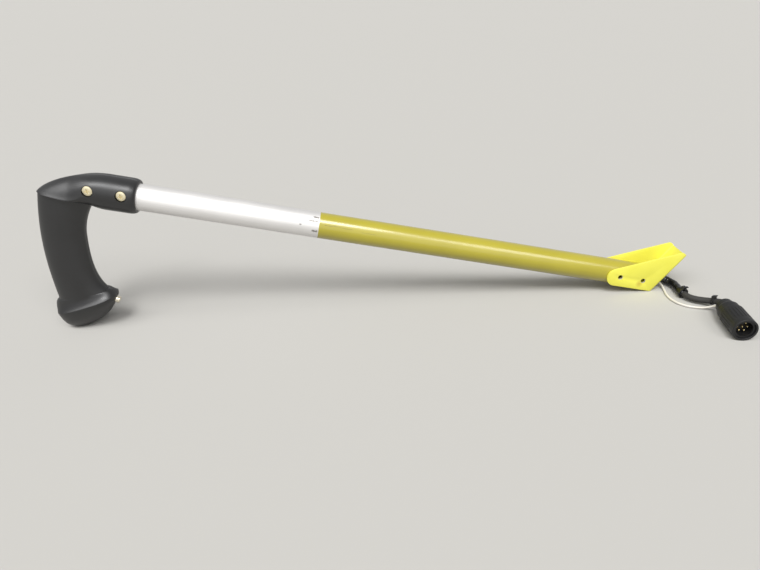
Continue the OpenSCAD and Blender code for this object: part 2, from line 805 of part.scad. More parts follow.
// Each tie sits in the middle of a straight step of the route
tie_route_at = [from_web([14.55, -30.9, 5.2]), from_web([32.35, -54.4, 7.6])];
tie_dir = [[0.7, -4.2, 0], [3.1, -5.2, 2]];
tie_round = [sleeve_d, cable_d];
module pigtail_sleeve() {
    color("#161616")
        sweep(sleeve_route, sleeve_d, 10, upright);
}
module pigtail_cable() {
    color("#3a3a3a")
        sweep(cable_route, cable_d, 10, upright);
}
module pigtail_white_wire() {
    color("#ece9e2")
        sweep(wire_route, wire_d, 8, upright);
}
module cable_ties() {
    head = [4.4, 4, 3.2];
    color("#111111")
        for (i = [0, 1])
            translate(tie_route_at[i])
                rotate([0, acos(tie_dir[i][2] / norm(tie_dir[i])), atan2(tie_dir[i][1], tie_dir[i][0])])
                    difference() {
                        union() {
                            cylinder(d = tie_round[i] + 2 * tie_t + 2 * seat_gap, h = tie_w, center = true);
                            translate([-tie_round[i] / 2 - head[2] / 2 - 0.3, 0, 0])
                                cube([head[2], head[1], head[0]], center = true);
                        }
                        cylinder(d = tie_round[i] + 2 * seat_gap, h = 4 * tie_w, center = true);
                    }
}

// End bell: a turned shell that screws on the body, with a rubber bush in its mouth
bell_d = ring_d - 2;
mouth_wall = 1.8;
mouth_lip = 1.2;
mouth_edge = 0.9;
bell_straight = 5;
cable_bush_d = bell_mouth_d - 2 * mouth_wall;
cable_bush_len = 5;
module end_bell() {
    lip_r = cable_bush_d / 2 - 1;
    bush_r = cable_bush_d / 2 + seat_gap;
    bush_end = mouth_lip + cable_bush_len;
    neck_start = bell_len - thread_len;
    neck_r = body_neck_d / 2 + seat_gap;
    color("#1e1e1f")
        at_plug()
            rotate([0, 90, 0])
                rotate_extrude()
                    polygon([[lip_r, 0], [bell_mouth_d / 2 - mouth_edge, 0], [bell_mouth_d / 2, mouth_edge],
                             [bell_d / 2, bell_len - bell_straight], [bell_d / 2, bell_len],
                             [neck_r, bell_len], [neck_r, neck_start], [plug_bore / 2, neck_start],
                             [bush_r, bush_end], [bush_r, mouth_lip], [lip_r, mouth_lip]]);
}
module cable_bush() {
    color("#141414")
        at_plug()
            difference() {
                on_x(mouth_lip, cable_bush_d, cable_bush_len);
                rotate([pair_turn, 0, 0]) {
                    translate([0, mouth_shift, 0])
                        on_x(0, cable_d + 2 * seat_gap, bell_len);
                    translate([0, mouth_shift - wire_side, 0])
                        on_x(0, wire_d + 2 * seat_gap, bell_len);
                }
            }
}
// Body inside the ring: its neck screws into the end bell, and its step keeps the ring on
insert_back = bell_len + 8;
insert_front = plug_len - 10;
module plug_body() {
    neck_start = bell_len - thread_len;
    step_start = ring_start + ring_lip + ring_play;
    color("#202021")
        at_plug()
            difference() {
                union() {
                    on_x(neck_start, body_neck_d, body_front - neck_start);
                    on_x(step_start, body_d, body_front - step_start);
                }
                on_x(neck_start - past, plug_bore, plug_len);
            }
}
contact_places = concat([[0, 0]], [for (k = [0:contact_count - 1])
    contact_r * [cos(360 * k / contact_count), sin(360 * k / contact_count)]]);
module each_contact(x, d, h) {
    for (p = contact_places)
        translate([0, p[0], p[1]])
            on_x(x, d, h);
}
module plug_insert() {
    color("#151515")
        at_plug()
            difference() {
                on_x(insert_back, plug_bore - 2 * press_gap, insert_front - insert_back);
                each_contact(insert_back - past, contact_d, insert_front);
            }
}
contact_tail = 3;
contact_out = 4;
module plug_contacts() {
    color("#cfa84a")
        at_plug()
            each_contact(insert_back - contact_tail, contact_d,
                         insert_front - insert_back + contact_tail + contact_out);
}
// Leads from the cable's end to the tails of the contacts
module plug_leads() {
    core_d = 1.1;
    core_share = 0.42;
    tail = insert_back - contact_tail;
    cable_mid = mouth_shift * [cos(pair_turn), sin(pair_turn)];
    color("#b9b4a6")
        at_plug()
            for (p = contact_places)
                let (core = cable_mid + core_share * p)
                    sweep([[cable_stop, core[0], core[1]], [cable_stop + 2, core[0], core[1]],
                           [tail - 2, p[0], p[1]], [tail, p[0], p[1]]], core_d, 6, upright);
}
module coupling_ring() {
    rib_count = 24;
    rib_d = 1.6;
    rib_rise = 0.2 * rib_d;
    rib_back = 3;
    rib_front = 7;
    color("#232324")
        at_plug()
            difference() {
                on_x(ring_start, ring_d, ring_len);
                on_x(ring_start + ring_lip, ring_bore, ring_len);
                on_x(ring_start - past, body_neck_d + 2 * running, ring_len);
                for (k = [0:rib_count - 1])
                    rotate([360 * k / rib_count, 0, 0])
                        translate([0, 0, ring_d / 2 + rib_rise])
                            on_x(ring_start + rib_back, rib_d, ring_len - rib_back - rib_front);
            }
}

grip_near_half();
grip_far_half();
grip_screws();
thread_inserts();
tube();
tube_end_bush();
foot_bracket();
bracket_welds();
web_grommet();
button_plunger();
switch_bushing();
switch_body();
return_spring();
switch_terminals();
switch_leads();
tube_harness();
pigtail_sleeve();
pigtail_cable();
pigtail_white_wire();
cable_ties();
end_bell();
cable_bush();
plug_leads();
plug_body();
plug_insert();
plug_contacts();
coupling_ring();
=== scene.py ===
# Looks of an aircraft control stick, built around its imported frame. Sizes are in millimetres.
import json
from math import atan2, copysign, cos, hypot, pi, radians, sin, sqrt, tan

import bmesh
import bpy
from mathutils import Matrix, Vector


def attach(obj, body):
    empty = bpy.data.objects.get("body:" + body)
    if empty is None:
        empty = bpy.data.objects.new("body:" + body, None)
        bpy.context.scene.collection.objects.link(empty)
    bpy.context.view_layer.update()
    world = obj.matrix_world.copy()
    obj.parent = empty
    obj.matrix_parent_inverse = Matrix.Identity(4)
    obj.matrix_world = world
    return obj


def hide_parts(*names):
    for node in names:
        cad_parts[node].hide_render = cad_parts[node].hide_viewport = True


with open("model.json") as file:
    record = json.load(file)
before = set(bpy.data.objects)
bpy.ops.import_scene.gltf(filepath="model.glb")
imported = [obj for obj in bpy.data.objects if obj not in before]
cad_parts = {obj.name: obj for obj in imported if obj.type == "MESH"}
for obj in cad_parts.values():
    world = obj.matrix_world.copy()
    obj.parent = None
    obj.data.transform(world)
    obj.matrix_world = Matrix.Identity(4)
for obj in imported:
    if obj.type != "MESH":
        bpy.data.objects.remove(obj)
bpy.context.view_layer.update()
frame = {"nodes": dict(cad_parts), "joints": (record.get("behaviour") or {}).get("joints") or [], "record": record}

MM = 0.001
NODES = frame["nodes"]
MOUNTS = {mount["name"]: mount for mount in frame["record"]["mounts"]}
JOINTS = {joint["name"]: joint for joint in frame["joints"]}

# Tube, foot bracket and grommet
TUBE_D = 25.4
TUBE_WALL = 1.65
SOCKET_LEN = 50
HOLE_REACH = 484
BOLT_D = 4.9
BOLT_PITCH = 25.4
FLAT_DEPTH = 0.3
TUBE_MARGIN = 8
WEB_GAP = 9
SHEET = 1.8
WEB_ANGLE = radians(65)
WEB_HOLE_UP = 3
NOSE_R = 9.3
NOSE_AHEAD = 4.4
GROMMET_SEAT_D = 14
GROMMET_BORE = 11.6
GROMMET_D = 17
GROMMET_LIP = 1.4
# Grip head, neck and pommel
HEAD_LEN = 91
HEAD_END_R = 14.3
HEAD_UP = 16.6
HEAD_HALF = 17
HEAD_RIM = 7
HEAD_STRAIGHT = 28
HEAD_TAPER = 40
BELLY_LEN = 34
CREASE_START = 38
CREASE_LEN = 24
CREASE_RISE = 1.4
CREASE_LIP = 1.6
CREASE_FADE = 8
TAIL_DROP = 9
NECK_D = 39.5
NECK_W = 24.4
NECK_TOP = -2
POMMEL_C = Vector((-48, -118))
POMMEL_ANGLE = radians(33.6)
POMMEL_LEN = 63
POMMEL_W = 34
POMMEL_DEPTH = 23
RIM_DROP = 2
RIM_SHIFT = -4
RIM_STEP = 1
OVAL_POWER = 2.3
RIM_POWER = 3
SEAM_GAP = 0.08
SEAM_BREAK = 0.3
# Grip screws and button
SCREW_X = -11.7
SCREW_PITCH = 29.2
SCREWS = (SCREW_X, SCREW_X - SCREW_PITCH)
SCREW_UP = 4
SCREW_D = 4.1
SCREW_HEAD_D = 9.4
SCREW_HEAD_H = 2.3
SCREW_SEAT = 13.9
COUNTERBORE_D = 10.2
INSERT_D = 6.4
INSERT_START = 12.8
INSERT_LEN = 2.4
BUTTON_D = 7
BUTTON_OUT = 4.6
BUTTON_DROP = 9
BUTTON_DIP = radians(18)
BUTTON_SKIN = 3
BUSHING_D = 11.9
BUSHING_LEN = 6
SWITCH_D = 13
SWITCH_LEN = 12.5
FLANGE_D = 9.4
FLANGE_H = 1.5
WAY_D = 11
# Pigtail and plug
CABLE_D = 6
SLEEVE_D = 8.4
WIRE_D = 2.4
TIE_W = 2.6
TIE_T = 1.1
RING_D = 22
RING_LEN = 28
RING_WALL = 1.9
RING_START = 17.3
RING_LIP = 3
BELL_LEN = 17
BELL_D = 20
BELL_MOUTH_D = 15.6
PLUG_BORE = 14.6
CONTACT_D = 1.6
CONTACT_R = 4.4
CONTACT_COUNT = 6
INSERT_BACK = 25
INSERT_FRONT = 35.3


# Frames in metres that take points in millimetres: the stick (+X along the tube from the head's end
# face, +Y away, +Z square to both), the plug and the web
def frame_of(origin, along, up):
    side = up.cross(along)
    turned = Matrix((along, side, up)).transposed().to_4x4()
    return Matrix.Translation(origin) @ turned @ Matrix.Scale(MM, 4)


BEARING = MOUNTS["tube_bearing"]
BARE_LEN = BEARING["dims"]["length_mm"]
ALONG = Vector(BEARING["axis"])
ACROSS = Vector((0, 1, 0))
TILT = atan2(-ALONG.z, ALONG.x)
HEAD_END = Vector(BEARING["pos_m"]) - ALONG * (BARE_LEN / 2 * MM)
STICK = frame_of(HEAD_END, ALONG, ALONG.cross(ACROSS))
COUPLING = JOINTS["coupling_turn"]
PLUG = frame_of(Vector(COUPLING["pos_m"]), Vector(COUPLING["axis"]), Vector((0, 0, 1)))
TUBE_R = TUBE_D / 2
BORE_R = TUBE_R - TUBE_WALL
FAR_HOLE = HOLE_REACH + BOLT_PITCH
HOLES = (HOLE_REACH, FAR_HOLE)
TUBE_END = FAR_HOLE + TUBE_MARGIN
CHEEK_IN = TUBE_D - 2 * FLAT_DEPTH
CHEEK_OUT = CHEEK_IN + 2 * SHEET
WEB_OUT = TUBE_END + WEB_GAP + SHEET / sin(WEB_ANGLE)
WEB_LEAN = Matrix.Rotation(pi / 2 - WEB_ANGLE, 4, "Y")
WEB = STICK @ Matrix.Translation((WEB_OUT, 0, 0)) @ WEB_LEAN
WEB_HOLE = WEB @ Vector((0, 0, WEB_HOLE_UP))


# Camera at the photograph's view
PHOTO_W = 760
FOCAL_PX = 580
SENSOR_MM = 36
CLIP_END_M = 2000
EYE = Vector((-7.92, -532.0, 308.88))
VIEW_AZIMUTH = radians(-1.686)
VIEW_ELEVATION = radians(28.312)
VIEW_ROLL = radians(-3.178)


def new_object(name, data):
    made = bpy.data.objects.new(name, data)
    bpy.context.scene.collection.objects.link(made)
    return made


def set_camera():
    data = bpy.data.cameras.new("photo_view")
    data.sensor_width = SENSOR_MM
    data.lens = SENSOR_MM * FOCAL_PX / PHOTO_W
    data.clip_end = CLIP_END_M
    camera = new_object("photo_view", data)
    turned = (Matrix.Rotation(VIEW_AZIMUTH, 4, "Z") @ Matrix.Rotation(pi / 2 - VIEW_ELEVATION, 4, "X")
              @ Matrix.Rotation(VIEW_ROLL, 4, "Z"))
    camera.matrix_world = Matrix.Translation(EYE * MM) @ turned
    bpy.context.scene.camera = camera


set_camera()


# Small tools
def mix(a, b, t):
    return a + (b - a) * t


def unit_range(u):
    return min(1.0, max(0.0, u))


def ease(u):
    """A smooth rise from 0 to 1, level before and after."""
    u = unit_range(u)
    return u * u * (3 - 2 * u)


def signed_pow(value, power):
    return copysign(abs(value) ** power, value)


def circle(sides, shift=0.0):
    """Cosine and sine of even turns."""
    turns = [2 * pi * (k + shift) / sides for k in range(sides)]
    return [(cos(t), sin(t)) for t in turns]


def bezier(p, t):
    return (p[0] * (1 - t) ** 3 + p[1] * 3 * t * (1 - t) ** 2 + p[2] * 3 * t * t * (1 - t)
            + p[3] * t ** 3)


def linear(hex_code):
    """Linear RGBA of an sRGB hex colour."""
    parts = [int(hex_code[i:i + 2], 16) / 255 for i in (1, 3, 5)]
    return [c / 12.92 if c <= 0.04045 else ((c + 0.055) / 1.055) ** 2.4 for c in parts] + [1]


def add(tree, kind, inputs=None, **settings):
    """Adds one node: settings are its properties, inputs its values or the outputs linked to it."""
    made = tree.nodes.new(kind)
    for key, value in settings.items():
        setattr(made, key, value)
    for key, value in (inputs or {}).items():
        if isinstance(value, bpy.types.NodeSocket):
            tree.links.new(value, made.inputs[key])
        else:
            made.inputs[key].default_value = value
    return made


# Sockets of a colour mix, the range that noise mostly keeps to, and the depth of a grain or orange peel
MIX_A = 6
MIX_B = 7
MIX_OUT = 2
NOISE_LOW = 0.3
NOISE_HIGH = 0.7
GRAIN_DEPTH = 0.1


def calc(tree, operation, *values):
    """The output of a math node, given numbers or sockets."""
    return add(tree, "ShaderNodeMath", dict(enumerate(values)), operation=operation).outputs[0]


def noise(tree, place, size, detail):
    """Noise whose features are size millimetres wide."""
    inputs = {"Vector": place, "Scale": 1 / (size * MM), "Detail": detail}
    return add(tree, "ShaderNodeTexNoise", inputs).outputs["Fac"]


def rescaled(tree, value, low, high, start, stop):
    """A value from low to high, mapped to between start and stop and held at both ends."""
    inputs = {"Value": value, "From Min": low, "From Max": high, "To Min": start, "To Max": stop}
    return add(tree, "ShaderNodeMapRange", inputs).outputs["Result"]


def varied(tree, clouds, smooth, rough):
    """Roughness between two levels that follows some noise."""
    return rescaled(tree, clouds, NOISE_LOW, NOISE_HIGH, smooth, rough)


def blend(tree, share, *ends):
    """A mix of two colours, each a hex code or a socket."""
    first, second = [linear(end) if isinstance(end, str) else end for end in ends]
    inputs = {0: share, MIX_A: first, MIX_B: second}
    return add(tree, "ShaderNodeMix", inputs, data_type="RGBA").outputs[MIX_OUT]


def bumped(tree, strength, depth, height):
    """Normals of a surface that is raised by up to depth millimetres."""
    inputs = {"Strength": strength, "Distance": depth * MM, "Height": height}
    return add(tree, "ShaderNodeBump", inputs).outputs["Normal"]


def start_material(name):
    made = bpy.data.materials.new(name)
    made.use_nodes = True
    made.node_tree.nodes.clear()
    return made, made.node_tree


def end_material(made, sockets):
    tree = made.node_tree
    shader = add(tree, "ShaderNodeBsdfPrincipled", sockets)
    add(tree, "ShaderNodeOutputMaterial", {"Surface": shader.outputs["BSDF"]})
    return made


def plain_finish(name, dark, light, grain, patch, rough, bump, metallic=0.0, ior=1.5):
    """A finish with a fine grain of size grain, broad patches of size patch in colour and gloss."""
    made, tree = start_material(name)
    place = add(tree, "ShaderNodeTexCoord").outputs["Object"]
    patches = noise(tree, place, patch, 4)
    return end_material(made, {
        "Base Color": blend(tree, patches, dark, light),
        "Roughness": varied(tree, patches, *rough),
        "Normal": bumped(tree, bump, GRAIN_DEPTH, noise(tree, place, grain, 2)),
        "Metallic": metallic, "IOR": ior})


# Materials of the small pieces and the grip
# Black ABS, moulded with a spark-eroded satin and rubbed by hands: a broad soft sheen, never a mirror.
# The real grain is about 0.2 mm, drawn at 0.7 mm so that it shows.
GRIP_PLASTIC = plain_finish("black_moulded_abs", "#0f0f10", "#19191a", 0.7, 22, (0.34, 0.44), 0.14, ior=1.62)
# Steel screws with a pale yellow passivated zinc plate: creamy metal with a dull gold cast
SCREW_METAL = plain_finish("passivated_zinc_steel", "#e3d6ab", "#f8f0d8", 0.5, 3, (0.36, 0.5), 0.08, 1.0)
# Nickel plate over turned brass, worn by thumbs: bright and warm
BUTTON_METAL = plain_finish("nickel_plated_brass", "#d3c8ae", "#f1ede2", 0.6, 4, (0.16, 0.3), 0.05, 1.0)
# Turned brass that stays hidden in the grip and the plug's dull gold-plated pins
BRASS = plain_finish("turned_brass", "#9c7430", "#c39a4c", 0.4, 4, (0.3, 0.45), 0.08, 1.0)
GOLD_PINS = plain_finish("gold_plated_brass", "#d8bd7a", "#f3e3b4", 0.4, 2, (0.2, 0.32), 0.04, 1.0)
# Zinc-plated steel of the switch and music wire of its spring
SWITCH_METAL = plain_finish("zinc_plated_steel", "#7d7c79", "#a09f9b", 0.5, 5, (0.35, 0.5), 0.08, 1.0)
SPRING_STEEL = plain_finish("music_wire_steel", "#8f9092", "#b9babc", 0.3, 4, (0.25, 0.35), 0.05, 1.0)
# Thermoplastic of the switch, the tube's edge bush and the plug's insert: dull and dark
DARK_NYLON = plain_finish("dark_moulded_nylon", "#111112", "#1b1b1c", 0.5, 8, (0.45, 0.6), 0.12)
# Soft rubber of the grommet and the cable bush: black without shine, a little dusty
RUBBER = plain_finish("black_moulded_rubber", "#131313", "#222120", 0.5, 5, (0.62, 0.8), 0.2)
# Polyolefin sleeve, shrunk on with hot air: black with a greasy gloss and faint waves
SHRINK_SLEEVE = plain_finish("shrunk_polyolefin", "#0c0c0d", "#161617", 1.6, 9, (0.2, 0.34), 0.14)
# Nylon cable ties, injection moulded: black and glossy
TIE_NYLON = plain_finish("black_tie_nylon", "#0d0d0e", "#171718", 0.6, 5, (0.18, 0.3), 0.05)
# Black anodised shell of the plug, bead-blasted first: matte with a soft grey bloom on its edges
PLUG_SHELL = plain_finish("black_anodised_aluminium", "#0d0d0e", "#19191a", 0.4, 7, (0.42, 0.58), 0.14)
# White PVC insulation of the loose wire, extruded: smooth, slightly warm and a little soiled
WHITE_PVC = plain_finish("white_extruded_pvc", "#d6d0c2", "#f3efe6", 0.8, 9, (0.34, 0.46), 0.06)


def stick_place(tree):
    """Stick coordinates in metres: X along the tube, Y across, Z square to both."""
    place = add(tree, "ShaderNodeTexCoord").outputs["Object"]
    inputs = {"Vector": place, "Location": HEAD_END, "Rotation": (0, TILT, 0)}
    return add(tree, "ShaderNodeMapping", inputs, vector_type="TEXTURE").outputs["Vector"]


# Marks on the tube: start and stop past the edge of the paint, height round it and half width in degrees
SCUFFS = ((-7, -0.2, 55, 5), (-12, -0.3, 36, 4.5), (-7, -0.4, -8, 5), (-19, -16.5, 14, 3.5))
SCRATCHES = ((4, 14, 25, 1.1), (12, 22, 27, 0.9), (20, 34, 24, 0.9), (40, 57, 18, 0.7))
MARK_FULL = 1.4
MARK_RAGGED = 2.2
MARK_TAPER = 0.6


def marks(tree, place, streaks, fleck):
    """1 inside streaks, with edges made ragged by flecks of size fleck, and 0 elsewhere."""
    parts = add(tree, "ShaderNodeSeparateXYZ", {"Vector": place}).outputs
    length = calc(tree, "MULTIPLY", parts["X"], 1 / MM)
    near = calc(tree, "MULTIPLY", parts["Y"], -1)
    turn = calc(tree, "DEGREES", calc(tree, "ARCTAN2", parts["Z"], near))
    flecks = noise(tree, place, fleck, 2)
    total = 0
    for start, stop, height, half in streaks:
        off = calc(tree, "ABSOLUTE", calc(tree, "SUBTRACT", turn, height))
        rough_off = calc(tree, "MULTIPLY_ADD", flecks, MARK_RAGGED * half, off)
        across = rescaled(tree, rough_off, MARK_FULL * half, MARK_RAGGED * half, 1, 0)
        reach = (stop - start) / 2
        far = calc(tree, "ABSOLUTE", calc(tree, "SUBTRACT", length, BARE_LEN + start + reach))
        ends = rescaled(tree, far, MARK_TAPER * reach, reach, 1, 0)
        total = calc(tree, "MAXIMUM", total, calc(tree, "MULTIPLY", across, ends))
    return total


def bare_aluminium():
    """Drawn aluminium tube, satin from sliding in its bearing: white metal with fine lengthwise lines,
    and short grey scuffs by the edge of the paint."""
    made, tree = start_material("drawn_aluminium")
    place = stick_place(tree)
    stretched = add(tree, "ShaderNodeMapping", {"Vector": place, "Scale": (0.012, 1, 1)}).outputs["Vector"]
    lines = noise(tree, stretched, 0.5, 3)
    scuffs = marks(tree, place, SCUFFS, 1.2)
    bright = blend(tree, lines, "#dbd9d7", "#f1efed")
    return end_material(made, {
        "Base Color": blend(tree, scuffs, bright, "#8c8883"), "Metallic": 0.7,
        "Roughness": varied(tree, noise(tree, place, 30, 3), 0.5, 0.6),
        "Normal": bumped(tree, 0.1, GRAIN_DEPTH / 2, lines)})


def tube_primer():
    """Yellow primer sprayed on the tube, the same paint as on the bracket but painted darker here as painted
    shade: glossy with a soft orange peel, darker where it is thin, and one broken scratch along the side."""
    made, tree = start_material("sprayed_yellow_primer")
    place = stick_place(tree)
    clouds = noise(tree, place, 38, 3)
    scratch = marks(tree, place, SCRATCHES, 1.1)
    coat = blend(tree, clouds, "#a79b1e", "#baae2c")
    return end_material(made, {
        "Base Color": blend(tree, scratch, coat, "#6d6226"),
        "Roughness": varied(tree, clouds, 0.3, 0.4),
        "Normal": bumped(tree, 0.12, GRAIN_DEPTH, noise(tree, place, 1.8, 2)),
        "Coat Weight": 1.0, "Coat Roughness": 0.19})


# The rusty smear by the far bolt hole: its middle, and the reach of its core and of its edge
SMEAR_AT = Vector((FAR_HOLE - 2.6, -CHEEK_OUT / 2, -3.8)) * MM
SMEAR_CORE = 0.6 * MM
SMEAR_EDGE = 4.5 * MM
SMEAR_LEVEL = 0.75


def bracket_primer(name, dark, light):
    """Yellow primer sprayed on the folded sheet, painted brighter than the same primer on the tube as painted
    light: flat and even, with a rusty smear by one bolt hole.
    """
    made, tree = start_material(name)
    place = stick_place(tree)
    clouds = noise(tree, place, 16, 4)
    away = add(tree, "ShaderNodeVectorMath", {0: place, 1: SMEAR_AT}, operation="DISTANCE").outputs["Value"]
    smear = calc(tree, "MULTIPLY", rescaled(tree, away, SMEAR_CORE, SMEAR_EDGE, SMEAR_LEVEL, 0), clouds)
    coat = blend(tree, clouds, dark, light)
    return end_material(made, {
        "Base Color": blend(tree, smear, coat, "#a8742e"),
        "Roughness": varied(tree, clouds, 0.42, 0.54),
        "Normal": bumped(tree, 0.14, GRAIN_DEPTH, noise(tree, place, 1.4, 2))})


CARRIERS = 12
WEAVE_DEPTH = 0.25


def braided_sleeve():
    """Polyester yarn braided over the cable: dull grey-black with a diamond weave.
    The real carriers are about 0.8 mm wide, drawn at 1.6 mm so that they show."""
    made, tree = start_material("braided_polyester")
    place = add(tree, "ShaderNodeUVMap", uv_map="around_along").outputs["UV"]
    parts = add(tree, "ShaderNodeSeparateXYZ", {"Vector": place}).outputs
    waves = []
    for lean in ("ADD", "SUBTRACT"):
        slant = calc(tree, lean, parts["X"], parts["Y"])
        waves.append(calc(tree, "SINE", calc(tree, "MULTIPLY", slant, 2 * pi * CARRIERS)))
    height = rescaled(tree, calc(tree, "MULTIPLY", *waves), -1, 1, 0, 1)
    return end_material(made, {
        # The colour follows the weave's height: painted shade in its hollows and painted light on its crests.
        "Base Color": blend(tree, height, "#1c1c1c", "#4a4845"), "Roughness": 0.75,
        "Normal": bumped(tree, 0.6, WEAVE_DEPTH, height)})


BARE_TUBE = bare_aluminium()
# The tube and the bracket carry one primer: the tube's copy is painted darker as painted shade, the bracket's
# brighter as painted light.
TUBE_PRIMER = tube_primer()
BRACKET_PRIMER = bracket_primer("sprayed_lemon_primer", "#f0ea50", "#faf666")
# A paler copy of the primer for the broken edges: a painted highlight along them.
BRACKET_EDGE = bracket_primer("lemon_primer_thin_on_edges", "#f7f398", "#fcfabc")
BRAID = braided_sleeve()


# Mesh tools
SMOOTH = 32


def shade(mesh, smooth=SMOOTH):
    """Smooth shading but for edges sharper than smooth degrees."""
    mesh.shade_smooth()
    mesh.set_sharp_from_angle(angle=radians(smooth))


def piece(name, bm, finishes, smooth=SMOOTH):
    """A new object from a bmesh, which it uses up."""
    mesh = bpy.data.meshes.new(name)
    bm.to_mesh(mesh)
    bm.free()
    for finish in finishes:
        mesh.materials.append(finish)
    shade(mesh, smooth)
    return new_object(name, mesh)


def settle(obj):
    """Makes the result of an object's modifiers its plain mesh."""
    graph = bpy.context.evaluated_depsgraph_get()
    result = bpy.data.meshes.new_from_object(obj.evaluated_get(graph))
    obj.modifiers.clear()
    obj.data = result


def round_edges(obj, width, segments):
    rounding = obj.modifiers.new("rounding", "BEVEL")
    rounding.width = width
    rounding.segments = segments
    settle(obj)


def in_triangles(obj):
    """Splits an object's faces into triangles, so that each is flat for a clean cut."""
    bm = bmesh.new()
    bm.from_mesh(obj.data)
    bmesh.ops.triangulate(bm, faces=bm.faces)
    bm.to_mesh(obj.data)
    bm.free()


def carve(target, cutters, operation="DIFFERENCE"):
    """Cuts each cutter out of the target, or joins it on, and removes the cutters."""
    for cutter in cutters:
        in_triangles(target)
        in_triangles(cutter)
        change = target.modifiers.new("carve", "BOOLEAN")
        change.operation = operation
        change.solver = "EXACT"
        change.object = cutter
        settle(target)
        bpy.data.objects.remove(cutter)


def outward(bm):
    bmesh.ops.recalc_face_normals(bm, faces=bm.faces)
    return bm


def bridge(bm, first, second):
    """Faces between two rings of vertices, of which one may be a single point."""
    count = max(len(first), len(second))
    for k in range(count):
        corners = [first[k % len(first)], first[(k + 1) % len(first)],
                   second[(k + 1) % len(second)], second[k % len(second)]]
        bm.faces.new(list(dict.fromkeys(corners)))


def loft(rings, place):
    """A closed skin through rings of points, with a fan at each end."""
    bm = bmesh.new()
    loops = [[bm.verts.new(place @ p) for p in ring] for ring in rings]
    for loop in (loops[0], loops[-1]):
        middle = sum((v.co for v in loop), Vector()) / len(loop)
        bridge(bm, loop, [bm.verts.new(middle)])
    for first, second in zip(loops, loops[1:]):
        bridge(bm, first, second)
    return outward(bm)


def lathe(profile, place, sides=96, closed=False):
    """A turned skin about local X from (along, radius) pairs; closed joins the last pair to the first."""
    bm = bmesh.new()
    rings = [[bm.verts.new(place @ Vector((x, r * c, r * s))) for c, s in circle(sides if r else 1)]
             for x, r in profile]
    pairs = list(zip(rings, rings[1:])) + ([(rings[-1], rings[0])] if closed else [])
    for first, second in pairs:
        bridge(bm, first, second)
    return outward(bm)


CORNER_SHARE = 0.45
CORNER_STEPS = 4


def soften(points, radius):
    """A closed outline with its corners rounded."""
    out = []
    for i, point in enumerate(points):
        here = Vector(point)
        back = Vector(points[i - 1]) - here
        ahead = Vector(points[(i + 1) % len(points)]) - here
        cut = min(radius, CORNER_SHARE * back.length, CORNER_SHARE * ahead.length)
        start, stop = here + back.normalized() * cut, here + ahead.normalized() * cut
        for k in range(CORNER_STEPS + 1):
            t = k / CORNER_STEPS
            out.append(start * (1 - t) ** 2 + here * 2 * t * (1 - t) + stop * t * t)
    return [tuple(p) for p in out]


def turned_shell(name, outline, corner, place, sides, finish):
    """A hollow turned piece from a closed outline of (along, radius) pairs, with round corners."""
    return piece(name, lathe(soften(outline, corner), place, sides, True), [finish])


def rod(x, d, h, place, sides=64):
    """A plain cylinder along local X, used as a cutter."""
    return piece("cutter", lathe([(x, 0), (x, d / 2), (x + h, d / 2), (x + h, 0)], place, sides), [])


def block(low, high, place):
    """A plain box between two corners, used as a cutter."""
    bm = bmesh.new()
    bmesh.ops.create_cube(bm, size=1)
    for v in bm.verts:
        v.co = place @ Vector([mix(low[k], high[k], v.co[k] + 0.5) for k in range(3)])
    return piece("cutter", outward(bm), [])


PATH_STEPS = 8


def smooth_path(points):
    """A smooth curve through points, as a closer row of points."""
    ends = [points[0] * 2 - points[1]] + points + [points[-1] * 2 - points[-2]]
    out = []
    for i in range(1, len(ends) - 2):
        p0, p1, p2, p3 = ends[i - 1:i + 3]
        for k in range(PATH_STEPS):
            t = k / PATH_STEPS
            out.append((p1 * 2 + (p2 - p0) * t + (p0 * 2 - p1 * 5 + p2 * 4 - p3) * t * t
                        + (p1 * 3 - p0 - p2 * 3 + p3) * t ** 3) / 2)
    return out + [points[-1]]


def path_length(path):
    return sum((b - a).length for a, b in zip(path, path[1:]))


def cord_skin(path, radius_at, sides):
    """A tube along a path in metres: radius_at takes the share of its length. UVs are turns round it and
    lengths of one circumference along it."""
    bm = bmesh.new()
    uv = bm.loops.layers.uv.new("around_along")
    total = path_length(path)
    lap = 2 * pi * radius_at(0.5)
    normal = Vector((0, 0, 1))
    run = 0
    rings, runs = [], []
    for before, p, after in zip(path[:1] + path, path, path[1:] + path[-1:]):
        run += (p - before).length
        ahead = (after - before).normalized()
        normal = (normal - ahead * normal.dot(ahead)).normalized()
        side = ahead.cross(normal)
        r = radius_at(run / total)
        rings.append([bm.verts.new(p + (side * c + normal * s) * r) for c, s in circle(sides)])
        runs.append(run / lap)
    for i, (first, second) in enumerate(zip(rings, rings[1:])):
        for k in range(sides):
            nxt = (k + 1) % sides
            face = bm.faces.new([first[k], first[nxt], second[nxt], second[k]])
            spots = [(k, i), (k + 1, i), (k + 1, i + 1), (k, i + 1)]
            for corner, (turn, step) in zip(face.loops, spots):
                corner[uv].uv = (turn / sides, runs[step])
    for ring, end in ((rings[0], path[0]), (rings[-1], path[-1])):
        bridge(bm, ring, [bm.verts.new(end)])
    return outward(bm)


def dress(made, slot, *nodes, body="stick"):
    """Rides a finished piece on its body and hides the nodes that it stands for."""
    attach(made, body)
    if nodes:
        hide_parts(*nodes)
    return made


# Pigtail: its route lies on the floor, given ahead of the web hole, across and up
PAIR_TURN = radians(45)
MOUTH_SHIFT = 1.6
WIRE_SIDE = 5.0
CABLE_STOP = 9
OUT_OF_WEB = (WEB.to_3x3() @ Vector((1, 0, 0))).normalized()
SLEEVE_SHIFT = 1.3
WIRE_GAP = 5.6
SLEEVE_OUT = 7
WIRE_OUT = 4.4
BEHIND_LIP = 1
WEB_BEHIND = SHEET + GROMMET_LIP + BEHIND_LIP


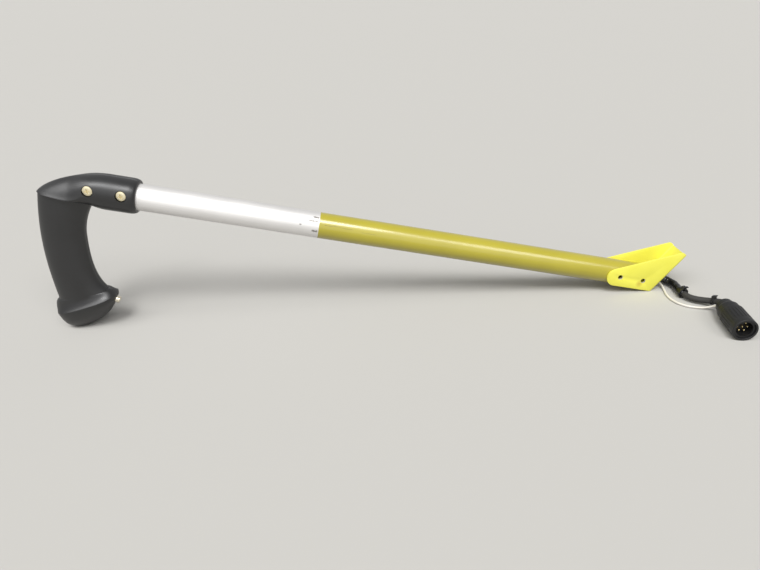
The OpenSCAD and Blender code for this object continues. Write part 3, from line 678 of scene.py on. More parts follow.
def from_web(points):
    return [Vector((WEB_HOLE.x + x * MM, y * MM, z * MM)) for x, y, z in points]


def out_of_web(up, reach):
    start = WEB @ Vector((-WEB_BEHIND, 0, WEB_HOLE_UP + up))
    return [start, start + OUT_OF_WEB * reach * MM]


def into_plug(off):
    return [PLUG @ Vector((x, off * cos(PAIR_TURN), off * sin(PAIR_TURN))) for x in (0, CABLE_STOP)]


SLEEVE_ROUTE = out_of_web(SLEEVE_SHIFT, SLEEVE_OUT) + from_web([
    (7.2, -0.7, 7.5), (11.2, -3.1, 5.6), (14.2, -7.2, 4.8), (15.4, -12.6, 4.7), (14.8, -18.6, 4.8),
    (14, -24.4, 5.1), (14.2, -28.8, 5.2), (14.9, -33, 5.2)])
CABLE_ROUTE = from_web([
    (15.6, -37.2, 5.2), (17.5, -41, 5.2), (21.2, -44.5, 5.2), (26.2, -47.6, 5.4), (30.8, -51.8, 6.6),
    (33.9, -57, 8.6), (35.3, -62.6, 10.8)]) + into_plug(MOUTH_SHIFT)
WIRE_ROUTE = out_of_web(SLEEVE_SHIFT - WIRE_GAP, WIRE_OUT) + from_web([
    (2, -2.2, 4.4), (4, -6.6, 3), (3.8, -12.5, 2), (2.4, -19.5, 1.4), (1, -27, 1.3), (1, -35, 1.3),
    (3.6, -43, 1.3), (9, -49.6, 1.3), (15.6, -53.4, 1.3), (21.4, -55.6, 1.6), (26.2, -57.8, 3),
    (29.4, -60.6, 5.4), (31, -63.8, 7.5)]) + into_plug(MOUTH_SHIFT - WIRE_SIDE)
TIE_AT = from_web([(14.55, -30.9, 5.2), (32.35, -54.4, 7.6)])
TIE_DIR = [Vector((0.7, -4.2, 0)), Vector((3.1, -5.2, 2))]
TIE_ROUND = [SLEEVE_D, CABLE_D]
CABLE_PATH = smooth_path(SLEEVE_ROUTE + CABLE_ROUTE)
SLEEVE_PATH = CABLE_PATH[:PATH_STEPS * (len(SLEEVE_ROUTE) - 1) + 1]
WIRE_PATH = smooth_path(WIRE_ROUTE)
cable = piece("braided_cable", cord_skin(CABLE_PATH, lambda share: CABLE_D / 2 * MM, 24), [BRAID])
dress(cable, "cable_black", "pigtail_cable")


# Height and pace of the sleeve's waves, and its grip on the cable at its far end
SLEEVE_WAVES = ((0.1, 38), (0.06, 91))
SLEEVE_SHRINK = 0.12
SLEEVE_SKIN = 0.35
SLEEVE_GRIP = 0.965


def sleeve_radius(share):
    """The sleeve grips the cable at its far end and is a little wavy where it shrank over the bend."""
    waves = sum(high * sin(pace * share) for high, pace in SLEEVE_WAVES)
    grip = ease((share - SLEEVE_GRIP) / (1 - SLEEVE_GRIP))
    return mix(SLEEVE_D / 2 - SLEEVE_SHRINK + waves, CABLE_D / 2 + SLEEVE_SKIN, grip) * MM


sleeve = piece("shrink_sleeve", cord_skin(SLEEVE_PATH, sleeve_radius, 28), [SHRINK_SLEEVE])
dress(sleeve, "sleeve_black", "pigtail_sleeve")
wire = piece("white_wire", cord_skin(WIRE_PATH, lambda share: WIRE_D / 2 * MM, 18), [WHITE_PVC])
dress(wire, "wire_white", "pigtail_white_wire")


# Corners of the tie's head and of its cut tail, over the middle of the strap's top
TIE_HEAD = ((-2.1, -1.9, -0.9), (2.1, 1.9, 2.1))
TIE_TAIL = ((-TIE_W / 2, 1.2, 0.2), (TIE_W / 2, 4.6, 1.3))
TIE_PLAY = 0.05
TIE_EDGE = 0.3
TIE_ROUNDING = 0.35


def cable_tie(name, at, direction, round_d):
    """A strap round the cable, its ratchet head on top and a cut tail beside the head."""
    place = frame_of(at, direction.normalized(), Vector((0, 0, 1)))
    half = TIE_W / 2
    inner = round_d / 2 + TIE_PLAY
    outer = inner + TIE_T
    strap = [(-half, inner), (half, inner), (half, outer), (-half, outer)]
    made = turned_shell(name, strap, TIE_EDGE, place, 48, TIE_NYLON)
    over = place @ Matrix.Translation((0, 0, outer))
    parts = [block(*corners, over) for corners in (TIE_HEAD, TIE_TAIL)]
    for part in parts:
        part.data.materials.append(TIE_NYLON)
        round_edges(part, TIE_ROUNDING * MM, 3)
    carve(made, parts, "UNION")
    shade(made.data)
    return made


ties = [dress(cable_tie(f"cable_tie_{i + 1}", TIE_AT[i], TIE_DIR[i], TIE_ROUND[i]), "tie_plastic")
        for i in range(2)]
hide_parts("cable_ties")


# Copies of one piece in a row or round the X axis
def copies_tree():
    tree = bpy.data.node_groups.new("copies_of_a_piece", "GeometryNodeTree")
    for label, kind in (("Master", "Object"), ("Copies", "Int"), ("Step", "Vector"), ("Turn", "Float"),
                        ("Finish", "Material")):
        tree.interface.new_socket(label, in_out="INPUT", socket_type="NodeSocket" + kind)
    tree.interface.new_socket("Geometry", in_out="OUTPUT", socket_type="NodeSocketGeometry")
    given = add(tree, "NodeGroupInput").outputs
    index = add(tree, "GeometryNodeInputIndex").outputs[0]
    points = add(tree, "GeometryNodePoints", {"Count": given["Copies"]})
    shift = add(tree, "ShaderNodeVectorMath", {0: given["Step"], "Scale": index}, operation="SCALE")
    row = add(tree, "GeometryNodeSetPosition", {"Geometry": points.outputs[0], "Offset": shift.outputs[0]})
    turned = add(tree, "ShaderNodeCombineXYZ", {"X": calc(tree, "MULTIPLY", given["Turn"], index)})
    master = add(tree, "GeometryNodeObjectInfo", {"Object": given["Master"]})
    inputs = {"Points": row.outputs[0], "Instance": master.outputs["Geometry"], "Rotation": turned.outputs[0]}
    copies = add(tree, "GeometryNodeInstanceOnPoints", inputs)
    real = add(tree, "GeometryNodeRealizeInstances", {"Geometry": copies.outputs[0]})
    painted = add(tree, "GeometryNodeSetMaterial", {"Geometry": real.outputs[0], "Material": given["Finish"]})
    add(tree, "NodeGroupOutput", {"Geometry": painted.outputs[0]})
    return tree


COPIES = copies_tree()
COPIES_INPUTS = {item.name: item.identifier for item in COPIES.interface.items_tree if item.in_out == "INPUT"}


def copies_of(name, master, finish, count, place, pitch=0.0):
    """Repeats a master made in millimetres, in a row with a pitch or else evenly round X, in its place."""
    turn = 0.0 if pitch else 2 * pi / count
    host = new_object(name, bpy.data.meshes.new(name))
    change = host.modifiers.new("copies", "NODES")
    change.node_group = COPIES
    for label, value in (("Master", master), ("Copies", count), ("Step", (pitch, 0, 0)), ("Turn", turn),
                         ("Finish", finish)):
        change[COPIES_INPUTS[label]] = value
    settle(host)
    bpy.data.objects.remove(master)
    host.data.transform(place)
    return host


HERE = Matrix.Identity(4)


# Plug
# End bell: its mouth as (along, past the mouth's radius), its lip, and where its skirt and its seat start
BELL_MOUTH = ((0, -0.6), (1, -0.1), (7.2, 0.4))
BELL_LIP = 2.8
BELL_LIP_LEN = 1.2
BELL_SKIRT = 9.8
BELL_SEAT = 13
BELL_STEP = 1.1
BELL_CONE = 6.2
BELL_EDGE = 1
SHELL_CORNER = 0.6


def end_bell():
    """A turned shell: a narrow mouth, a round shoulder and a straight skirt."""
    mouth = BELL_MOUTH_D / 2
    lip = mouth - BELL_LIP
    inside = PLUG_BORE / 2
    outline = [(0, lip)] + [(x, mouth + more) for x, more in BELL_MOUTH]
    outline += [(x, BELL_D / 2) for x in (BELL_SKIRT, BELL_LEN - BELL_EDGE, BELL_LEN)]
    outline += [(BELL_LEN, inside + BELL_STEP), (BELL_SEAT, inside + BELL_STEP), (BELL_SEAT, inside),
                (BELL_CONE, lip + BELL_STEP), (BELL_LIP_LEN, lip + BELL_STEP), (BELL_LIP_LEN, lip)]
    return turned_shell("plug_end_bell", outline, SHELL_CORNER, PLUG, 96, PLUG_SHELL)


RING_NECK = 1.08
RING_CORNER = 0.5
GROOVE = 0.3
RIB_COUNT = 24
WAIST_BACK = RING_START + 3
WAIST_FRONT = RING_START + RING_LEN - 7
RIB_OVERLAP = 0.4
RIB_HALF_SHARE = 0.42
RIB_ROOT = 1.2
RIB_ROUNDING = 0.2
PIN_TAIL = 3
PIN_OUT = 4


def coupling_ring():
    """A knurled ring: two plain collars and a waist that carries the ribs."""
    rim = RING_D / 2
    bore = rim - RING_WALL
    neck = PLUG_BORE / 2 + RING_NECK
    front = RING_START + RING_LEN
    outline = [(RING_START, neck), (RING_START, rim), (WAIST_BACK, rim),
               (WAIST_BACK + GROOVE, rim - GROOVE), (WAIST_FRONT - GROOVE, rim - GROOVE),
               (WAIST_FRONT, rim), (front, rim), (front, bore),
               (RING_START + RING_LIP, bore), (RING_START + RING_LIP, neck)]
    return turned_shell("plug_coupling_ring", outline, RING_CORNER, PLUG, 120, PLUG_SHELL)


def coupling_ribs():
    half = RIB_HALF_SHARE * pi * RING_D / RIB_COUNT
    rib = block((WAIST_BACK - RIB_OVERLAP, -half, RING_D / 2 - RIB_ROOT),
                (WAIST_FRONT + RIB_OVERLAP, half, RING_D / 2), HERE)
    round_edges(rib, RIB_ROUNDING, 2)
    return copies_of("plug_coupling_ribs", rib, PLUG_SHELL, RIB_COUNT, PLUG)


def contact_pin():
    """A turned pin with a round nose."""
    r = CONTACT_D / 2
    tail = INSERT_BACK - PIN_TAIL
    tip = INSERT_FRONT + PIN_OUT
    nose = [(tip - r + r * sin(t), r * cos(t)) for t in (0, 0.4, 0.8, 1.2)]
    return lathe([(tail, 0), (tail, r)] + nose + [(tip, 0)], HERE, 24)


bell = dress(end_bell(), "plug_shell", "end_bell")
ring = dress(coupling_ring(), "plug_shell", "coupling_ring", body="coupling")
ribs = dress(coupling_ribs(), "plug_shell", body="coupling")
pin_bm = contact_pin()
bmesh.ops.translate(pin_bm, verts=pin_bm.verts, vec=(0, CONTACT_R, 0))
pins = copies_of("contact_circle", piece("pin", pin_bm, []), GOLD_PINS, CONTACT_COUNT, PLUG)
dress(pins, "contact_brass", "plug_contacts")
middle_pin = copies_of("contact_middle", piece("pin", contact_pin(), []), GOLD_PINS, 1, PLUG)
dress(middle_pin, "contact_brass")


def grommet():
    bore, seat, rim = [d / 2 for d in (GROMMET_BORE, GROMMET_SEAT_D, GROMMET_D)]
    inner = -SHEET - GROMMET_LIP
    outline = [(inner, bore), (inner, rim), (-SHEET, rim), (-SHEET, seat), (0, seat), (0, rim),
               (GROMMET_LIP, rim), (GROMMET_LIP, bore)]
    place = WEB @ Matrix.Translation((0, 0, WEB_HOLE_UP))
    return turned_shell("cable_grommet", outline, SHELL_CORNER, place, 72, RUBBER)


dress(grommet(), "grommet_rubber", "web_grommet")


# Grip: a head round the tube, and a neck with a skirt over the pommel's lip. Its points are along the tube
# and square to it, or along and down from the middle of the pommel's rim.
RIM_ALONG = Vector((cos(POMMEL_ANGLE), sin(POMMEL_ANGLE)))
RIM_DOWN = Vector((sin(POMMEL_ANGLE), -cos(POMMEL_ANGLE)))
DROP = -POMMEL_C.y
RIM_MID = POMMEL_C + RIM_ALONG * RIM_SHIFT - RIM_DOWN * RIM_STEP
PALM_PINCH = 0.25
FINGER_FILLET = 15
FILLET_END = 0.36
# The skirt: where it starts on either side of the rim's middle, and how it spreads towards the lip
SKIRT_PALM = Vector((-21.8, -12.8))
SKIRT_FINGER = Vector((26.6, -1.2))
SKIRT_HALF = 12.6
SHOULDER_POWER = 0.38
FLARE_POWER = 2.5
LIP_INSET = 0.2
LIP_TURN = radians(6.5)
LIP_HALF = Vector((cos(LIP_TURN), sin(LIP_TURN))) * POMMEL_LEN / 2
LIP_MID = Vector((0, RIM_DROP + RIM_STEP))
# The neck's edges are pulled towards points at a distance past the head's tail and a share of the drop
PALM_PULL = ((-2.8, 0.52), (7, 0.79))
FINGER_PULL = ((NECK_D + 1.9, 0.4), (NECK_D + 1.5, 0.74))
TAIL_INSET = 0.4


def on_rim(spot):
    return RIM_MID + RIM_ALONG * spot.x + RIM_DOWN * spot.y


def neck_edge(x, y, pulls, stop):
    pulled = [Vector((past - HEAD_LEN, -share * DROP)) for past, share in pulls]
    return [Vector((x - HEAD_LEN, y))] + pulled + [on_rim(stop)]


PALM_EDGE = neck_edge(TAIL_INSET, TAIL_INSET - TAIL_DROP, PALM_PULL, SKIRT_PALM)
FINGER_EDGE = neck_edge(NECK_D, NECK_TOP, FINGER_PULL, SKIRT_FINGER)
DOME_DRIFT = 9
DOME_DRIFT_POWER = 1.3
DOME_POWER = 2.2
DOME_SIDE_POWER = 1.7
LIP_REACH = 0.55
RING_SIDES = 112


def in_plane(p, y=0.0):
    return Vector((p.x, y, p.y))


def oval(centre, along, a, b, power, pinch=0.0):
    """A ring of the neck or the pommel: a higher power squares it, and pinch narrows it towards the palm."""
    points = []
    for c, s in circle(RING_SIDES, 0.5):
        u = signed_pow(c, 2 / power)
        v = signed_pow(s, 2 / power) * (1 - pinch * max(0, -u))
        points.append(in_plane(centre + along * (a * u), b * v))
    return points


def oval_between(palm, finger, half, power, pinch=0.0):
    span = (finger - palm).length
    return oval((palm + finger) / 2, (finger - palm) / span, span / 2, half, power, pinch)


def neck_ring(t):
    """The fingers' side has a fillet under the head."""
    fillet = FINGER_FILLET * max(0, 1 - t / FILLET_END) ** 2
    finger = bezier(FINGER_EDGE, t) + Vector((fillet, 0))
    return oval_between(bezier(PALM_EDGE, t), finger, mix(NECK_W / 2, SKIRT_HALF, t), OVAL_POWER,
                        PALM_PINCH * (1 - t))


def skirt_ring(s):
    """Between the neck and the lip: a shoulder at both ends and a hollow flare at the sides."""
    ends = []
    for top, lip in ((SKIRT_PALM, LIP_MID - LIP_HALF), (SKIRT_FINGER, LIP_MID + LIP_HALF)):
        ends.append(on_rim(Vector((mix(top.x, lip.x, s ** SHOULDER_POWER), mix(top.y, lip.y, s)))))
    half = mix(SKIRT_HALF, POMMEL_W / 2 - LIP_INSET, s ** FLARE_POWER)
    return oval_between(*ends, half, mix(OVAL_POWER, RIM_POWER, s))


def neck_axis(t):
    return (bezier(PALM_EDGE, t) + bezier(FINGER_EDGE, t)) / 2


def dome_scale(t, power=DOME_POWER):
    return (1 - t ** power) ** (1 / power)


def dome_centre(t):
    return (POMMEL_C + RIM_ALONG * (RIM_SHIFT - DOME_DRIFT * t ** DOME_DRIFT_POWER)
            + RIM_DOWN * (RIM_DROP + POMMEL_DEPTH * t))


def dome_ring(t):
    """The dome starts at the lip, which is turned from the rim, and comes round to it further down."""
    turn = POMMEL_ANGLE - LIP_TURN * (1 - ease(t / LIP_REACH))
    return oval(dome_centre(t), Vector((cos(turn), sin(turn))), POMMEL_LEN / 2 * dome_scale(t),
                POMMEL_W / 2 * dome_scale(t, DOME_SIDE_POWER), mix(RIM_POWER, OVAL_POWER, t))


def rim_share(x):
    return 1.0 if x < -HEAD_RIM else sqrt(max(0, 1 - ((x + HEAD_RIM) / HEAD_RIM) ** 2))


# Powers of the crown's fall to the tail, of the taper, and of the head's section over the tube and at the
# crease, below its widest level and above it
CROWN_POWERS = (1.75, 0.75)
TAPER_POWER = 2.4
BELLY_POWERS = (2, 3.2)
ROOF_POWERS = (2.3, 1.6)
CREASE_POWER = 7


def head_ring(x):
    """Round over the tube; towards the tail the sides slope like a roof down to the crease over the neck."""
    rim = mix(HEAD_END_R, HEAD_UP, rim_share(x))
    tail = unit_range((-HEAD_STRAIGHT - x) / (HEAD_LEN - HEAD_STRAIGHT))
    crown = (1 - tail ** CROWN_POWERS[0]) ** CROWN_POWERS[1]
    top = rim if tail == 0 else mix(-TAIL_DROP, HEAD_UP, crown)
    low = mix(-rim, -TAIL_DROP, ease((-HEAD_STRAIGHT - x) / BELLY_LEN))
    draw = unit_range((-HEAD_TAPER - x) / (HEAD_LEN - HEAD_TAPER))
    half = mix(HEAD_END_R, HEAD_HALF, rim_share(x)) * sqrt(1 - draw ** TAPER_POWER)
    sunk = ease((-CREASE_START - x) / CREASE_LEN)
    half_high = (top - low) / 2
    widest = low + mix(half_high, min(CREASE_RISE, half_high), sunk)
    points = []
    for c, s in circle(RING_SIDES, 0.5):
        lower = s < 0
        power = mix(*BELLY_POWERS, sunk) if lower else mix(*ROOF_POWERS, sunk ** 2)
        high = widest - low if lower else top - widest
        across = signed_pow(c, 2 / power)
        upward = signed_pow(s, 2 / power)
        lip = CREASE_LIP * sunk * min(1, half / CREASE_FADE) * across * (1 - max(0, upward)) ** CREASE_POWER
        points.append(Vector((x, half * across + lip, widest + high * upward)))
    return points


# Rings of each stretch of the grip, and how much they crowd towards its end or its start
RIM_RINGS = 14
TAIL_RINGS = 64
TAIL_CROWDING = 1.5
TAIL_TIP = 0.999
NECK_RINGS = 60
NECK_CROWDING = 1.3
SKIRT_RINGS = 24
SKIRT_CROWDING = 1.4
DOME_RINGS = 30


def crowded(k, count, power):
    """Shares from 0 to 1 that lie closer towards 1."""
    return 1 - (1 - k / count) ** power


def grip_solid():
    rim = [-HEAD_RIM * (1 - cos(pi / 2 * k / RIM_RINGS)) for k in range(RIM_RINGS + 1)]
    tail = [mix(-HEAD_RIM, -TAIL_TIP * HEAD_LEN, crowded(k, TAIL_RINGS, TAIL_CROWDING))
            for k in range(1, TAIL_RINGS + 1)]
    head = piece("grip", loft([head_ring(x) for x in rim + tail], HERE), [GRIP_PLASTIC])
    rings = [neck_ring(crowded(k, NECK_RINGS, NECK_CROWDING)) for k in range(NECK_RINGS + 1)]
    rings += [skirt_ring((k / SKIRT_RINGS) ** SKIRT_CROWDING) for k in range(1, SKIRT_RINGS + 1)]
    rings += [dome_ring(sin(pi / 2 * k / DOME_RINGS)) for k in range(1, DOME_RINGS)]
    neck = piece("neck", loft(rings, HERE), [GRIP_PLASTIC])
    carve(head, [neck], "UNION")
    return head


# Switch pocket, clearances, and the way that the leads take from the pocket up the neck and into the tube
POCKET_SPARE = 6
PLAY = 0.2
HOLE_PLAY = 0.4
SPARE = 1
BUSH_SEAT = 1.7
BUSH_STEP = 2.6
BUTTON_SPARE = 4
PAST = 40
WAY_STEPS = (0.86, 0.76, 0.66, 0.56, 0.46, 0.36, 0.26)
WAY_TURN = 0.16
WAY_DROP = -3
WAY_OVERLAP = 4
ELBOW_STEPS = 4
CUT_TOLERANCE = 0.002
SEAM_TOLERANCE = 0.01
SHELL_SMOOTH = 28
BUTTON_T = BUTTON_DROP / POMMEL_DEPTH
BUTTON_SPOT = in_plane(dome_centre(BUTTON_T) + RIM_ALONG * (POMMEL_LEN / 2 * dome_scale(BUTTON_T)))
BUTTON_LINE = Matrix.Translation(BUTTON_SPOT) @ Matrix.Rotation(BUTTON_DIP, 4, "Y")
SWITCH_FRONT = -BUTTON_SKIN - BUSHING_LEN
POCKET_BACK = SWITCH_FRONT - SWITCH_LEN - POCKET_SPARE


def crosswise(x, y=0, z=SCREW_UP):
    """A frame at a grip screw or a bolt, with +X towards the viewer."""
    turned = Matrix(((0, 1, 0), (-1, 0, 0), (0, 0, 1))).to_4x4()
    return Matrix.Translation((x, y, z)) @ turned


def half_shell(name, mesh, side):
    """One half of the grip, cut at the seam, with the seam's edges broken."""
    out = Vector((0, side, 0))
    bm = bmesh.new()
    bm.from_mesh(mesh)
    for depth, cut_off in ((SEAM_GAP + SEAM_BREAK, False), (SEAM_GAP, True)):
        everything = bm.verts[:] + bm.edges[:] + bm.faces[:]
        bmesh.ops.bisect_plane(bm, geom=everything, dist=CUT_TOLERANCE, plane_co=out * depth, plane_no=-out,
                               clear_outer=cut_off)
    bmesh.ops.remove_doubles(bm, verts=[v for v in bm.verts if v.is_boundary], dist=SEAM_TOLERANCE)
    rim = [e for e in bm.edges if e.is_boundary]
    bm.normal_update()
    for v in {v for e in rim for v in e.verts}:
        inward = v.normal - out * v.normal.dot(out)
        v.co -= inward * SEAM_BREAK
    bmesh.ops.triangle_fill(bm, edges=rim, use_beauty=True, normal=-out)
    bmesh.ops.holes_fill(bm, edges=[e for e in bm.edges if e.is_boundary], sides=0)
    outward(bm).transform(STICK)
    return piece(name, bm, [GRIP_PLASTIC], SHELL_SMOOTH)


def leads_way():
    low, end = neck_axis(WAY_TURN), Vector((-SOCKET_LEN, WAY_DROP))
    way = [BUTTON_LINE @ Vector((POCKET_BACK + WAY_OVERLAP, 0, 0))]
    way += [in_plane(neck_axis(t)) for t in WAY_STEPS]
    for k in range(ELBOW_STEPS + 1):
        a = pi / 2 * k / ELBOW_STEPS
        way.append(in_plane(Vector((mix(low.x, end.x, 1 - cos(a)), mix(low.y, end.y, sin(a))))))
    return way + [in_plane(end + Vector((WAY_OVERLAP, 0)))]


def grip_halves():
    solid = grip_solid()
    cutters = [rod(-SOCKET_LEN - PLAY / 2, TUBE_D + PLAY, SOCKET_LEN + SPARE, HERE, 96),
               rod(-SOCKET_LEN - BUSH_SEAT, TUBE_D - BUSH_STEP, BUSH_STEP, HERE, 96),
               rod(-BUTTON_SKIN - SPARE, BUTTON_D + HOLE_PLAY, BUTTON_SKIN + BUTTON_SPARE, BUTTON_LINE),
               rod(SWITCH_FRONT - SPARE, BUSHING_D + PLAY, BUSHING_LEN + SPARE, BUTTON_LINE),
               rod(POCKET_BACK, SWITCH_D + PLAY, SWITCH_FRONT - POCKET_BACK, BUTTON_LINE)]
    for x in SCREWS:
        spot = crosswise(x)
        cutters += [rod(-INSERT_START, SCREW_D + HOLE_PLAY, PAST, spot, 48),
                    rod(SCREW_SEAT, COUNTERBORE_D, PAST / 2, spot, 72),
                    rod(-INSERT_START - INSERT_LEN, INSERT_D, INSERT_LEN + SPARE, spot, 48)]
    cutters.append(piece("cutter", cord_skin(leads_way(), lambda share: WAY_D / 2, 24), []))
    carve(solid, cutters)
    halves = [half_shell("grip_near_shell", solid.data, -1), half_shell("grip_far_shell", solid.data, 1)]
    bpy.data.objects.remove(solid)
    return halves


for shell, node in zip(grip_halves(), ("grip_near_half", "grip_far_half")):
    dress(shell, "grip_plastic", node)


# The screw's crown as (below its top, in from its rim), and the depth and half sizes of its cross recess
SCREW_CROWN = ((0.9, 0), (0.45, 0.25), (0.18, 0.9), (0, 2.4))
RECESS = ((1, 2.4, 0.5), (1, 0.5, 2.4), (1.6, 0.9, 0.9))
RECESS_TURN = radians(20)
SHANK_SHORT = 0.4


def grip_screws():
    """Pan heads with a cross recess, and their shanks."""
    top = SCREW_HEAD_H
    r = SCREW_HEAD_D / 2
    shank = SCREW_SEAT + INSERT_START + INSERT_LEN - SHANK_SHORT
    profile = [(-shank, 0), (-shank, SCREW_D / 2), (0, SCREW_D / 2), (0, r)]
    profile += [(top - down, r - inward) for down, inward in SCREW_CROWN] + [(top, 0)]
    spot = crosswise(SCREW_X, -SCREW_SEAT)
    screw = piece("screw", lathe(profile, spot, 64), [])
    turned = spot @ Matrix.Rotation(RECESS_TURN, 4, "X")
    carve(screw, [block((top - deep, -across, -up), (top + SPARE, across, up), turned)
                  for deep, across, up in RECESS])
    made = copies_of("grip_screw_pair", screw, SCREW_METAL, 2, STICK, -SCREW_PITCH)
    shade(made.data)
    return made


dress(grip_screws(), "grip_screw_metal", "grip_screws")


FLANGE_PLAY = 0.04
BUTTON_DOME = 1
BUTTON_EDGE = 0.25
BUTTON_DRAW = 0.55
BUTTON_FLAT = 0.9
BUTTON_STRAIGHT = 1.1


def button():
    """A turned plunger: a flange inside the switch, a straight shank and a domed end."""
    r = BUTTON_D / 2
    seat = SWITCH_FRONT - FLANGE_PLAY
    profile = [(seat - FLANGE_H, 0), (seat - FLANGE_H, FLANGE_D / 2), (seat, FLANGE_D / 2), (seat, r),
               (BUTTON_OUT - BUTTON_STRAIGHT, r)]
    for t in (0.3, 0.7, 1.1):
        drawn = (BUTTON_EDGE + (r - BUTTON_EDGE) * BUTTON_DRAW) * (1 - cos(t))
        profile.append((BUTTON_OUT - BUTTON_DOME * (1 - sin(t)), r - drawn))
    profile += [(BUTTON_OUT, BUTTON_FLAT), (BUTTON_OUT, 0)]
    return piece("thumb_button", lathe(profile, STICK @ BUTTON_LINE, 72), [BUTTON_METAL])


dress(button(), "button_metal", "button_plunger", body="button")


# Tube: bare and painted stretches of one stock, cut at the web's angle, with flats for the cheeks
FILM = 0.07
FILM_STEP = 0.25
FLAT_PLAY = 0.01
TUBE_SMOOTH = 25


def stick_tube():
    past_end = TUBE_END + TUBE_R
    outline = [(-SOCKET_LEN, BORE_R), (-SOCKET_LEN, TUBE_R), (BARE_LEN - FILM_STEP, TUBE_R),
               (BARE_LEN, TUBE_R), (BARE_LEN + FILM_STEP, TUBE_R + FILM), (past_end, TUBE_R + FILM),
               (past_end, BORE_R)]
    made = piece("stick_tube", lathe(outline, STICK, 144, True), [BARE_TUBE, TUBE_PRIMER], TUBE_SMOOTH)
    flat_from = HOLE_REACH - NOSE_AHEAD - NOSE_R - SPARE
    end_place = STICK @ Matrix.Translation((TUBE_END, 0, 0)) @ WEB_LEAN
    cutters = [block((0, -PAST, -2 * PAST), (2 * PAST, PAST, 2 * PAST), end_place)]
    for side in (-1, 1):
        low, high = sorted((side * (CHEEK_IN / 2 - FLAT_PLAY), side * PAST))
        cutters.append(block((flat_from, low, -PAST), (TUBE_END + PAST, high, PAST), STICK))
    cutters += [rod(-PAST, SCREW_D + HOLE_PLAY, 2 * PAST, STICK @ crosswise(x), 48) for x in SCREWS]
    cutters += [rod(-PAST, BOLT_D, 2 * PAST, STICK @ crosswise(x, z=0), 48) for x in HOLES]
    carve(made, cutters)
    back = STICK.inverted()
    for face in made.data.polygons:
        face.material_index = 1 if (back @ face.center).x > BARE_LEN else 0
    shade(made.data, TUBE_SMOOTH)
    return made


dress(stick_tube(), "tube_metal", "tube")


# The sheet's edges: which are joined, flat or sharp, and how they are broken
SHEET_MERGE = 0.002
SHEET_FLAT = radians(0.5)
SHEET_SHARP = radians(40)
SHEET_BREAK = 0.3
SHEET_ROUND = 0.6
SHEET_SMOOTH = 30
HOLE_WALL = 0.1


def folded_bracket():
    """The folded sheet with its edges broken and coloured paler there as a painted highlight, and bare bolt holes.
    """
    bm = bmesh.new()
    bm.from_mesh(NODES["foot_bracket"].data)
    bmesh.ops.remove_doubles(bm, verts=bm.verts, dist=SHEET_MERGE * MM)
    bmesh.ops.dissolve_limit(bm, angle_limit=SHEET_FLAT, verts=bm.verts, edges=bm.edges)
    sharp = [e for e in bm.edges if len(e.link_faces) == 2 and e.calc_face_angle() > SHEET_SHARP]
    bmesh.ops.bevel(bm, geom=sharp, offset=SHEET_BREAK * MM, segments=2, affect="EDGES", profile=SHEET_ROUND,
                    material=1, clamp_overlap=True)
    back = STICK.inverted()
    for face in bm.faces:
        spot = back @ face.calc_center_median()
        off = min(hypot(spot.x - x, spot.z) for x in HOLES)
        if off < BOLT_D / 2 + HOLE_WALL:
            face.material_index = 2
    return piece("folded_foot_bracket", bm, [BRACKET_PRIMER, BRACKET_EDGE, BARE_TUBE], SHEET_SMOOTH)


dress(folded_bracket(), "bracket_paint", "foot_bracket")


# Weld: its start past the nearer bolt hole, its end short of the tube's, each ripple's place and half sizes
WELD_START = 0.8
WELD_SHORT = 2
WELD_PITCH = 1.5
WELD_OFF = 11.35
WELD_UP = 5.9
RIPPLE = (1.1, 1.35, 1.7, 1)


def weld_beads():
    """Ripples of weld between the cheeks and the tube, painted over."""
    start = HOLE_REACH + WELD_START
    stop = TUBE_END - TUBE_R / tan(WEB_ANGLE) - WELD_SHORT
    bm = bmesh.new()
    for side in (-1, 1):
        for level in (-1, 1):
            spot = Matrix.Translation((start, side * WELD_OFF, level * WELD_UP)) @ Matrix.Diagonal(RIPPLE)
            bmesh.ops.create_uvsphere(bm, u_segments=14, v_segments=8, radius=1, matrix=spot)
    ripple = piece("ripple", bm, [])
    count = int((stop - start) / WELD_PITCH) + 1
    return copies_of("weld_ripples", ripple, BRACKET_PRIMER, count, STICK, WELD_PITCH)


dress(weld_beads(), "bracket_paint", "bracket_welds")

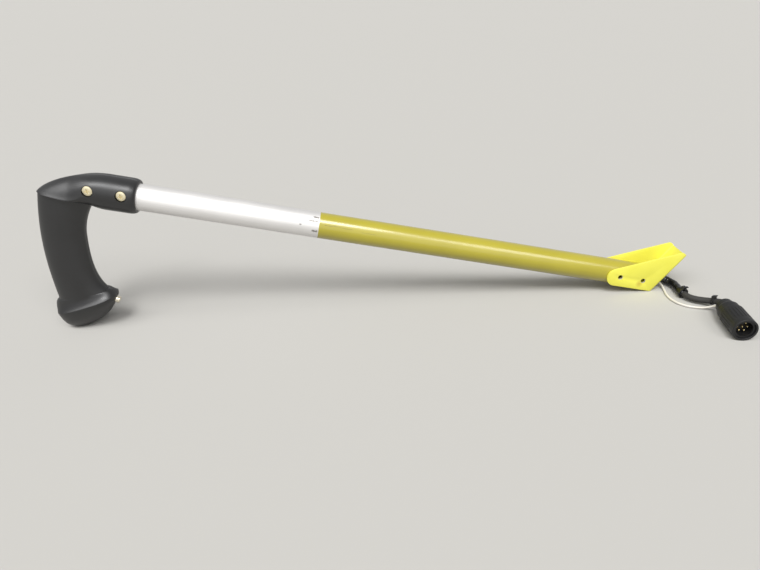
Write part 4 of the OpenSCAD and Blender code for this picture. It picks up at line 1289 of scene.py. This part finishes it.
# Pieces that keep their solids
for name, finish in {"thread_inserts": BRASS, "tube_end_bush": DARK_NYLON, "switch_bushing": SWITCH_METAL,
                     "switch_body": DARK_NYLON, "return_spring": SPRING_STEEL, "switch_terminals": BRASS,
                     "switch_leads": WHITE_PVC, "tube_harness": SHRINK_SLEEVE, "cable_bush": RUBBER,
                     "plug_leads": WHITE_PVC, "plug_body": PLUG_SHELL, "plug_insert": DARK_NYLON}.items():
    slots = NODES[name].data.materials
    slots.clear()
    slots.append(finish)


# Stage: a pale floor, broad lamps overhead, in front and on both sides, and a dim even sky
def shown(tree):
    """1 for rays that show a surface, direct or in a reflection, and 0 for the light that it throws."""
    ray = add(tree, "ShaderNodeLightPath").outputs
    seen = calc(tree, "MAXIMUM", ray["Is Camera Ray"], ray["Is Glossy Ray"])
    return calc(tree, "MAXIMUM", seen, ray["Is Transmission Ray"])


def studio_paper():
    """Matte paper, pale to the eye and in reflections, that throws little light up under the stick."""
    made, tree = start_material("pale_matte_paper")
    colour = blend(tree, shown(tree), "#8a8885", "#c3c1bc")
    return end_material(made, {"Base Color": colour, "Roughness": 0.9})


# Half the floor's size in metres, the light of the sky, its level to the eye, and each lamp's strength,
# spread, height and turn
FLOOR_HALF = 900
SKY_LIGHT = 0.2
SKY_SEEN = 0.57
LAMPS = (("overhead", 1.8, 24, 60, -8), ("front", 0.7, 60, 22, -4), ("left", 1.1, 36, 52, -60),
         ("right", 0.7, 24, 44, 35))


def stage():
    bm = bmesh.new()
    bmesh.ops.create_grid(bm, x_segments=1, y_segments=1, size=FLOOR_HALF)
    piece("floor", bm, [studio_paper()])
    sky = bpy.data.worlds.new("studio")
    sky.use_nodes = True
    tree = sky.node_tree
    background = tree.nodes["Background"]
    background.inputs["Color"].default_value = linear("#ffffff")
    level = calc(tree, "MULTIPLY_ADD", shown(tree), SKY_SEEN - SKY_LIGHT, SKY_LIGHT)
    tree.links.new(level, background.inputs["Strength"])
    bpy.context.scene.world = sky
    for name, strength, spread, height, turn in LAMPS:
        data = bpy.data.lights.new(name, "SUN")
        data.energy = strength
        data.angle = radians(spread)
        lamp = new_object(name, data)
        lamp.rotation_euler = (radians(90 - height), 0, radians(turn))


stage()
bpy.context.scene.view_settings.view_transform = "Standard"
